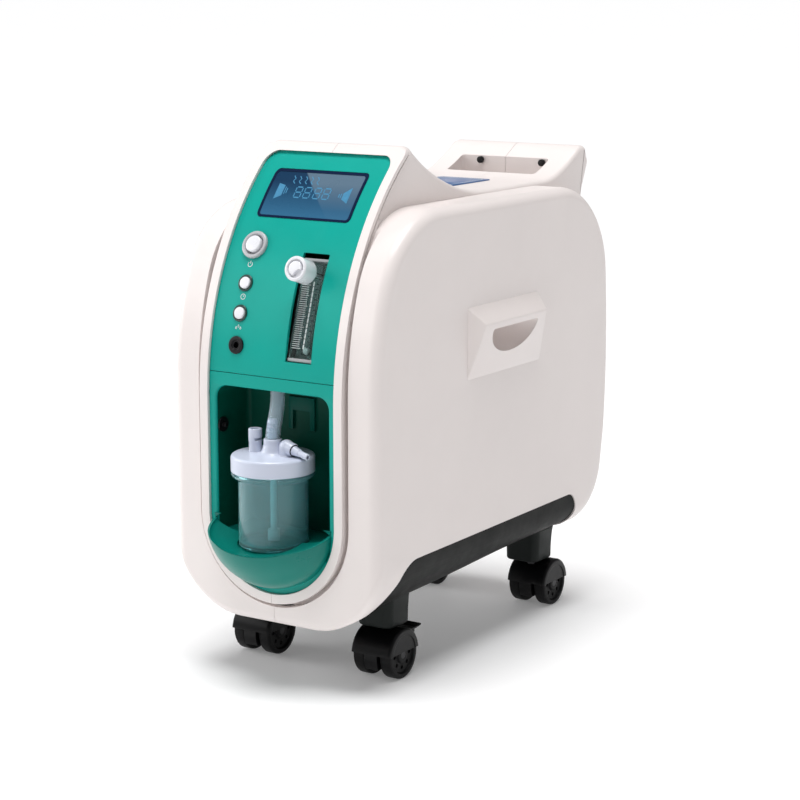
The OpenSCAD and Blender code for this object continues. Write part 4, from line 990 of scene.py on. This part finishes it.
# ---------------------------------------------------------------- humidifier
def humidifier():
    at = Matrix.Translation((0, BOTTLE_Y, 0))
    r, z = BOTTLE_R, BOTTLE_Z
    outer = ([(0, z + 1.6), (r - 7, z + 1.6), (r - 5.5, z)] + arc((r - 3, z + 3), 3, -90, 0, 6)
             + [(r, FLANGE_Z - 9)] + arc((r + 3, FLANGE_Z - 6), 3, 180, 110, 4) + [(CAP_R - 1.0, FLANGE_Z - 0.6)]
             + arc((CAP_R - 0.8, FLANGE_Z + 1.5), 0.8, -60, 80, 4)
             + [(CAP_R - 1.4, FLANGE_Z + 3.3), (NECK_R, FLANGE_Z + 3.3), (NECK_R, FLANGE_Z + 10), (NECK_R - 2, FLANGE_Z + 10)])
    inner = [(NECK_R - 2, FLANGE_Z), (r - 1.8, FLANGE_Z - 6), (r - 1.8, z + 6)] + arc((r - 5.8, z + 7.6), 4, 0, -90, 5) + [(0, z + 3.6)]
    finish_piece(lathe(outer + inner, at, 128), "bottle_shell", "bottle", CLEAR, ["bottle"], 40)
    top = CAP_TOP
    cap = lathe([(0, top - 3), (NECK_R + 0.4, top - 3), (NECK_R + 0.4, FLANGE_Z + 3.9), (CAP_R - 0.5, FLANGE_Z + 3.9),
                 (CAP_R, FLANGE_Z + 4.6), (CAP_R, top - 3.4)] + arc((CAP_R - 3, top - 3.2), 3, 0, 90, 8)[1:]
                + [(16, top + 0.1), (13.4, top + 0.5), (11.6, top + 2.2), (10.4, top + 5.0), (9.6, top + 8.4), (9.2, top + 9.2),
                   (9.2, top + 14.4), (8.4, top + 15), (4.9, top + 15), (4.7, top + 16)]
                + [p for k in range(4) for p in ((5.3, top + 18 + 4.2 * k), (4.5, top + 21.6 + 4.2 * k))]
                + [(4.3, top + 34.6), (3.6, top + 35), (0, top + 35)], at, 128)
    cap = minus(cap, rod(at, 2.2, FLANGE_Z, top + 40, 32),
                *[rod(Matrix.Translation((x, BOTTLE_Y, 0)), 2.4, top - 6, top + 5, 24) for x in (RELIEF_X, OUTLET_X)])
    finish_piece(cap, "cap_shell", "cabinet", CAP, ["bottle_cap"], 35)
    relief = minus(lathe([(0, top - 3), (2.3, top - 3), (2.3, top + 0.1), (7.4, top + 0.1), (6.7, top + 1.4), (6.5, top + 9),
                          (6.9, top + 10), (6.9, top + 21.8)] + arc((5.9, top + 22), 1.0, 0, 90, 4) + [(4, top + 22.6),
                         (3.6, top + 20), (0, top + 20)], Matrix.Translation((RELIEF_X, BOTTLE_Y, 0)), 64),
                   block((RELIEF_X + 3.4, RELIEF_X + 9), (BOTTLE_Y - 9, BOTTLE_Y + 9), (top + 11.5, top + 14)))
    finish_piece(relief, "relief_shell", "cabinet", CAP, ["relief_valve"], 35)
    outlet()
    hose()


def outlet():
    base = Matrix.Translation((OUTLET_X, BOTTLE_Y, CAP_TOP))
    side = base @ Matrix.Translation((0, 0, 8.5)) @ (
        Matrix.Rotation(math.radians(-OUTLET_TURN), 4, "Z") @ Matrix.Rotation(math.radians(90 + OUTLET_DROOP), 4, "Y"))
    shoulder = lathe([(0, -3), (2.3, -3), (2.3, 0.05), (8.6, 0.05), (7.8, 1.0), (7.8, 8)]
                     + arc((0, 8), 7.8, 0, 90, 10)[1:], base, 64)
    collar = lathe([(0, 0), (6.6, 0), (6.6, 10.6), (6.0, 11.6), (0, 11.6)], side, 64)
    boss = placed(lathe([(0, -0.1), (13.6, -0.1), (12.0, 2.2), (10.6, 5.0), (9.8, 8.6), (9.5, 9.4), (9.5, 20), (0, 20)], n=64),
                  Matrix.Translation((0, BOTTLE_Y, CAP_TOP)))
    body = minus(union(shoulder, collar), boss, rod(side, 1.8, 1, 36, 32))
    nozzle = minus(lathe([(0, 8), (4.9, 8), (4.9, 13), (4.5, 13.6), (3.7, 20.4),
                          (3.2, 20.8), (3.2, 32.3), (2.8, 33), (0, 33)], side, 48),
                   rod(side, 1.8, 7, 36, 32))
    ring = lathe([(4.92, 11.5), (5.9, 11.5), (5.9, 12.1), (4.92, 12.1)], side, 48)
    finish_piece(join(body, nozzle), "outlet_shell", "cabinet", CAP, ["outlet_elbow"], 38)
    finish_piece(ring, "outlet_ring", "cabinet", BLACK, (), 38)


def hose():
    """Short hose from the cap's barb, leaning back into the roof of the bay."""
    low, high = CAP_TOP + 15.4, BAY_TOP + 1.5
    path = [(math.sin(math.pi * t) * 1.2, BOTTLE_Y + HOSE_BACK * (3 * t * t - 2 * t ** 3), low + (high - low) * t)
            for t in sweep(0, 1, 24)]
    outer = tube(path, [7.5 - 0.2 * t for t in sweep(0, 1, 24)], n=32)
    inner = tube([(path[0][0], path[0][1], path[0][2] - 1)] + path[1:-1] + [(path[-1][0], path[-1][1], path[-1][2] + 1)],
                 [5.7 - 0.2 * t for t in sweep(0, 1, 24)], n=32)
    finish_piece(minus(outer, inner), "hose_skin", "cabinet", HOSE, ["supply_hose"], 40)


# ---------------------------------------------------------------- outside trim
def grip(side):
    out = BODY_HW + GRIP_OUT
    y0, y1 = GRIP_Y
    z0, z1 = GRIP_Z
    base = BODY_HW - 0.6
    corners = [(base, y0, z0), (base, y1, z0), (base, y1 - 6, z1), (base, y0, z1),
               (out, y0 + 10, GRIP_RIDGE_Z), (out, y1 - 16, GRIP_RIDGE_Z)]
    faces = [(0, 3, 2, 1), (3, 4, 5, 2), (0, 1, 5, 4), (0, 4, 3), (1, 2, 5)]
    body = bevel(new_object("tool", corners, faces), 1.6, 4, 10)
    scoop = []
    for x, half, top, deep in ((BODY_HW - 22, 22, 346, 12), (BODY_HW - 17, 30, 347.5, 18), (BODY_HW - 8, 38, 348.5, 24),
                               (BODY_HW + 4, 43, 349.0, 28), (out - 4, 45.5, 349.4, 30), (out + 6, 47, 349.6, 32)):
        mid = 16
        corner = 3.0
        lower = [(mid + half * math.cos(math.radians(a)), top - corner + (deep - corner) * math.sin(math.radians(a)))
                 for a in sweep(180, 360, 32)]
        upper = (arc((mid + half - corner, top - corner), corner, 15, 90, 5)
                 + arc((mid - half + corner, top - corner), corner, 90, 165, 5))
        scoop.append([(x, y, z) for y, z in lower + upper])
    tool = loft(scoop)
    pocket_shell = prism_x([(y0 + 5.6, z0 + 5.6), (y1 - 5.6, z0 + 5.6), (y1 - 11.6, z1 - 5.6), (y0 + 5.6, z1 - 5.6)],
                           BODY_HW - 26, BODY_HW - 0.4)
    body = minus(union(body, pocket_shell), tool)
    if side < 0:
        body.data.transform(Matrix.Scale(-1, 4, (1, 0, 0)))
        body.data.flip_normals()
    name = "right" if side > 0 else "left"
    finish_piece(body, "grip_shell_" + name, "cabinet", WHITE, ["grip_" + name], 30)


def slot_plugs():
    """Dark plugs over the screws in the rear wall of the handle slot."""
    wall = SLOT_Y[1] + 4
    plugs = [bevel(rod(on_rear(x, wall, 495) @ Matrix.Rotation(math.pi, 4, "X"), 3.9, -0.4, 4.0, 32), 0.6, 2)
             for x in (-32, 48)]
    finish_piece(join(*plugs), "slot_plugs", "cabinet", BLACK)


def saddle_plate():
    plate = prism_z(rounded_box((-32, 32), (51, 144), 4, 8), SADDLE[2] + 0.05, SADDLE[2] + 1.1)
    finish_piece(bevel(plate, 0.35, 2), "saddle_label", "cabinet", LABEL, ["saddle_plate"])
    frame_line = minus(prism_z(rounded_box((-27, 27), (58, 137), 3, 8), SADDLE[2] + 1.0, SADDLE[2] + 1.18),
                       prism_z(rounded_box((-26, 26), (59, 136), 2.4, 8), SADDLE[2] + 0.5, SADDLE[2] + 2))
    finish_piece(frame_line, "saddle_label_line", "cabinet", PRINT)


# ---------------------------------------------------------------- casters
def caster(place, sx):
    y = CASTER_Y[place]
    dy = -TRAIL if place == "front" else TRAIL
    x = sx * CASTER_X
    side = "left" if sx < 0 else "right"
    body = f"swivel_{place}_{side}"
    hub = along_x(x, y + dy, WHEEL_R)
    hood_r = WHEEL_R + 2.8
    hw = WHEEL_X + 8
    profile = [(0, -hw), (hood_r - 3, -hw)] + arc((hood_r - 3, -hw + 3), 3, -90, 0, 5)[1:]
    profile += [(hood_r, hw - 3)] + arc((hood_r - 3, hw - 3), 3, 0, 90, 5)[1:] + [(0, hw)]
    hood = lathe(profile, hub)
    inside = rod(hub, WHEEL_R + 0.9, -hw + 1.6, hw - 1.6, 96)
    web = rod(hub, hood_r - 0.6, -7.6, 7.6, 96)
    low = block((x - 40, x + 40), (y + dy - 40, y + dy + 40), (-10, WHEEL_R + 3))
    hood = union(minus(hood, inside, low), minus(web, block((x - 9, x + 9), (y + dy - 40, y + dy + 40), (-5, 12))))
    # open the hood's sides so that the wheels' hubs show
    opening = union(rod(hub, WHEEL_R - 4, -hw - 4, -WHEEL_X - 7.2, 64),
                    rod(hub, WHEEL_R - 4, WHEEL_X + 7.2, hw + 4, 64))
    hood = minus(hood, opening)
    stem = lathe([(0, 48), (5.4, 48), (5.4, 83), (4.6, 84), (0, 84)], Matrix.Translation((x, y, 0)), 48)
    axle = rod(hub, 4, -WHEEL_X - 6.5, WHEEL_X + 6.5, 48)
    parts = [hood]
    if place == "front":
        for s in (-1, 1):
            ear = union(block((x + s * 13.5 - 1.5, x + s * 13.5 + 1.5), (y + 9.5, y + 17), (38, 45)),
                        rod(along_x(x + s * 13.5, y + 17, 41.5), 3.5, -1.5, 1.5, 32))
            parts.append(ear)
    finish_piece(join(*parts), f"caster_hood_{place}_{side}", body, NYLON, [f"caster_{place}_{side}"], 35)
    pins = [stem, axle]
    if place == "front":
        pins.append(rod(along_x(x, y + 17, 41.5), 1.5, -13, 13, 24))
    finish_piece(join(*pins), f"caster_pins_{place}_{side}", body, PIN, (), 35)
    for outer in (True, False):
        word = "outer" if outer else "inner"
        wx = x + sx * (WHEEL_X if outer else -WHEEL_X)
        face = sx if outer else -sx
        at = Matrix.Translation((wx, y + dy, WHEEL_R)) @ Matrix.Rotation(math.radians(90 * face), 4, "Y")
        h = WHEEL_W / 2
        # tread, dished face with a raised hub, bored for the axle
        profile = ([(4.06, -h), (WHEEL_R - 2.4, -h)] + arc((WHEEL_R - 2.4, -h + 2.4), 2.4, -90, 0, 5)[1:]
                   + [(WHEEL_R, h - 2.4)] + arc((WHEEL_R - 2.4, h - 2.4), 2.4, 0, 90, 5)[1:]
                   + [(WHEEL_R - 5, h), (WHEEL_R - 6, h - 1.2), (WHEEL_R - 6.4, h - 2.4), (9, h - 2.8), (8, h - 0.9),
                      (6.2, h - 0.4), (4.06, h - 0.4)])
        wheel = lathe(profile, at)
        pockets = [placed(rod(Matrix.Translation((13.4, 0, 0)), 2.1, h - 4, h, 20), at @ Matrix.Rotation(math.radians(a), 4, "Z"))
                   for a in range(0, 360, 45)]
        wheel = minus(wheel, *pockets)
        node = f"wheel_{place}_{side}_{word}"
        finish_piece(wheel, node + "_tyre", node, TREAD, [node], 35)
    if place == "front":
        brake(x, y, side)


def brake(x, y, side):
    at = Matrix.Translation((x, y + 17, 41.5))
    bar_part = rod(at @ Matrix.Rotation(math.radians(90), 4, "Y"), 3.2, -11.5, 11.5, 48)
    rings = []
    for t in sweep(0, 1, 12):
        yy = 24 * t
        zz = 3.0 * t * t - 0.2
        w = 11.5 - 1.6 * t * t
        thick = 2.6 - 0.6 * t
        rings.append([(px, yy, zz + pz) for px, pz in rounded_box((-w, w), (0, thick), 1.0, 3)])
    paddle = placed(loft(rings), at @ Matrix.Rotation(math.radians(-8), 4, "X"))
    ridges = [placed(block((-8.5, 8.5), (v, v + 1.2), (1.6 + 3.0 * (v / 24) ** 2, 2.9 + 3.0 * (v / 24) ** 2)),
                     at @ Matrix.Rotation(math.radians(-8), 4, "X")) for v in (12, 15, 18, 21)]
    lever = minus(union(bar_part, paddle, *ridges),
                  rod(at @ Matrix.Rotation(math.radians(90), 4, "Y"), 1.55, -14, 14, 24))
    finish_piece(lever, f"brake_pedal_{side}", f"brake_{side}", BLACK, [f"brake_{side}"], 35)


# ---------------------------------------------------------------- CAD nodes kept as they are
KEPT = {
    "display_module": GREY, "control_board": BOARD, "bay_socket": BLACK, "cap_seal": SEAL, "dip_tube": CREAM,
    "rear_grille": GREY, "filter_door": WHITE, "intake_filter": FOAM, "mains_inlet": BLACK, "breaker_button": BLACK,
    "mounting_deck": STEEL, "compressor": ALLOY, "compressor_springs": STEEL, "cooling_fan": BLACK,
    "fan_shroud": BLACK, "sieve_bed_left": ALLOY, "sieve_bed_right": ALLOY, "product_tank": CREAM,
    "valve_block": ALLOY, "housing_screws": STEEL,
}


def dress_cad_nodes():
    for node, material in KEPT.items():
        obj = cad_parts[node]
        for k in range(len(obj.material_slots)):
            obj.material_slots[k].material = material


# ---------------------------------------------------------------- stage and light
def area(name, place, aim, size, power, color=(1, 1, 1)):
    data = bpy.data.lights.new(name, "AREA")
    data.shape = "RECTANGLE"
    data.size, data.size_y = size
    data.energy = power
    data.color = color
    light = bpy.data.objects.new(name, data)
    light.location = place
    light.rotation_mode = "QUATERNION"
    light.rotation_quaternion = (Vector(aim) - Vector(place)).to_track_quat("-Z", "Y")
    bpy.context.scene.collection.objects.link(light)


def stage():
    reach = 150000
    floor = new_object("floor", [(-reach, -reach, 0), (reach, -reach, 0), (reach, reach, 0), (-reach, reach, 0)],
                       [(0, 1, 2, 3)])
    material, nodes, links, shader = node_tree("floor_pale")
    links.new(ramp(nodes, links, noise(nodes, links, 3.0), 0.3, 0.7, (0.84, 0.84, 0.845), (0.86, 0.86, 0.865)),
              shader.inputs["Base Color"])
    shader.inputs["Roughness"].default_value = 0.45
    shader.inputs["Emission Color"].default_value = (1, 1, 1, 1)
    shader.inputs["Emission Strength"].default_value = 0.16
    floor.data.materials.append(material)
    world = bpy.data.worlds.new("studio")
    bpy.context.scene.world = world
    world.use_nodes = True
    sky = world.node_tree.nodes["Background"]
    sky.inputs["Color"].default_value = (1, 1, 1, 1)
    sky.inputs["Strength"].default_value = 0.2
    data = bpy.data.lights.new("sun", "SUN")
    data.energy = 3.2
    data.angle = math.radians(38)
    sun = bpy.data.objects.new("sun", data)
    sun.rotation_mode = "QUATERNION"
    sun.rotation_quaternion = Vector((-0.02, 0.08, -1.0)).to_track_quat("-Z", "Y")
    bpy.context.scene.collection.objects.link(sun)
    area("softbox", (-1.6, -2.3, 1.5), (0, 0, 0.3), (1.3, 1.3), 10)
    area("key", (-2.6, -0.9, 1.2), (0, 0, 0.3), (1.3, 1.3), 28)


add_camera()
housings()
tub()
feet()
control_panel()
bay_panel()
tray()
display()
buttons()
flowmeter()
knob()
humidifier()
for hand in (-1, 1):
    grip(hand)
    for place in CASTER_Y:
        caster(place, hand)
slot_plugs()
saddle_plate()
dress_cad_nodes()
stage()
bpy.context.scene.view_settings.view_transform = "Standard"
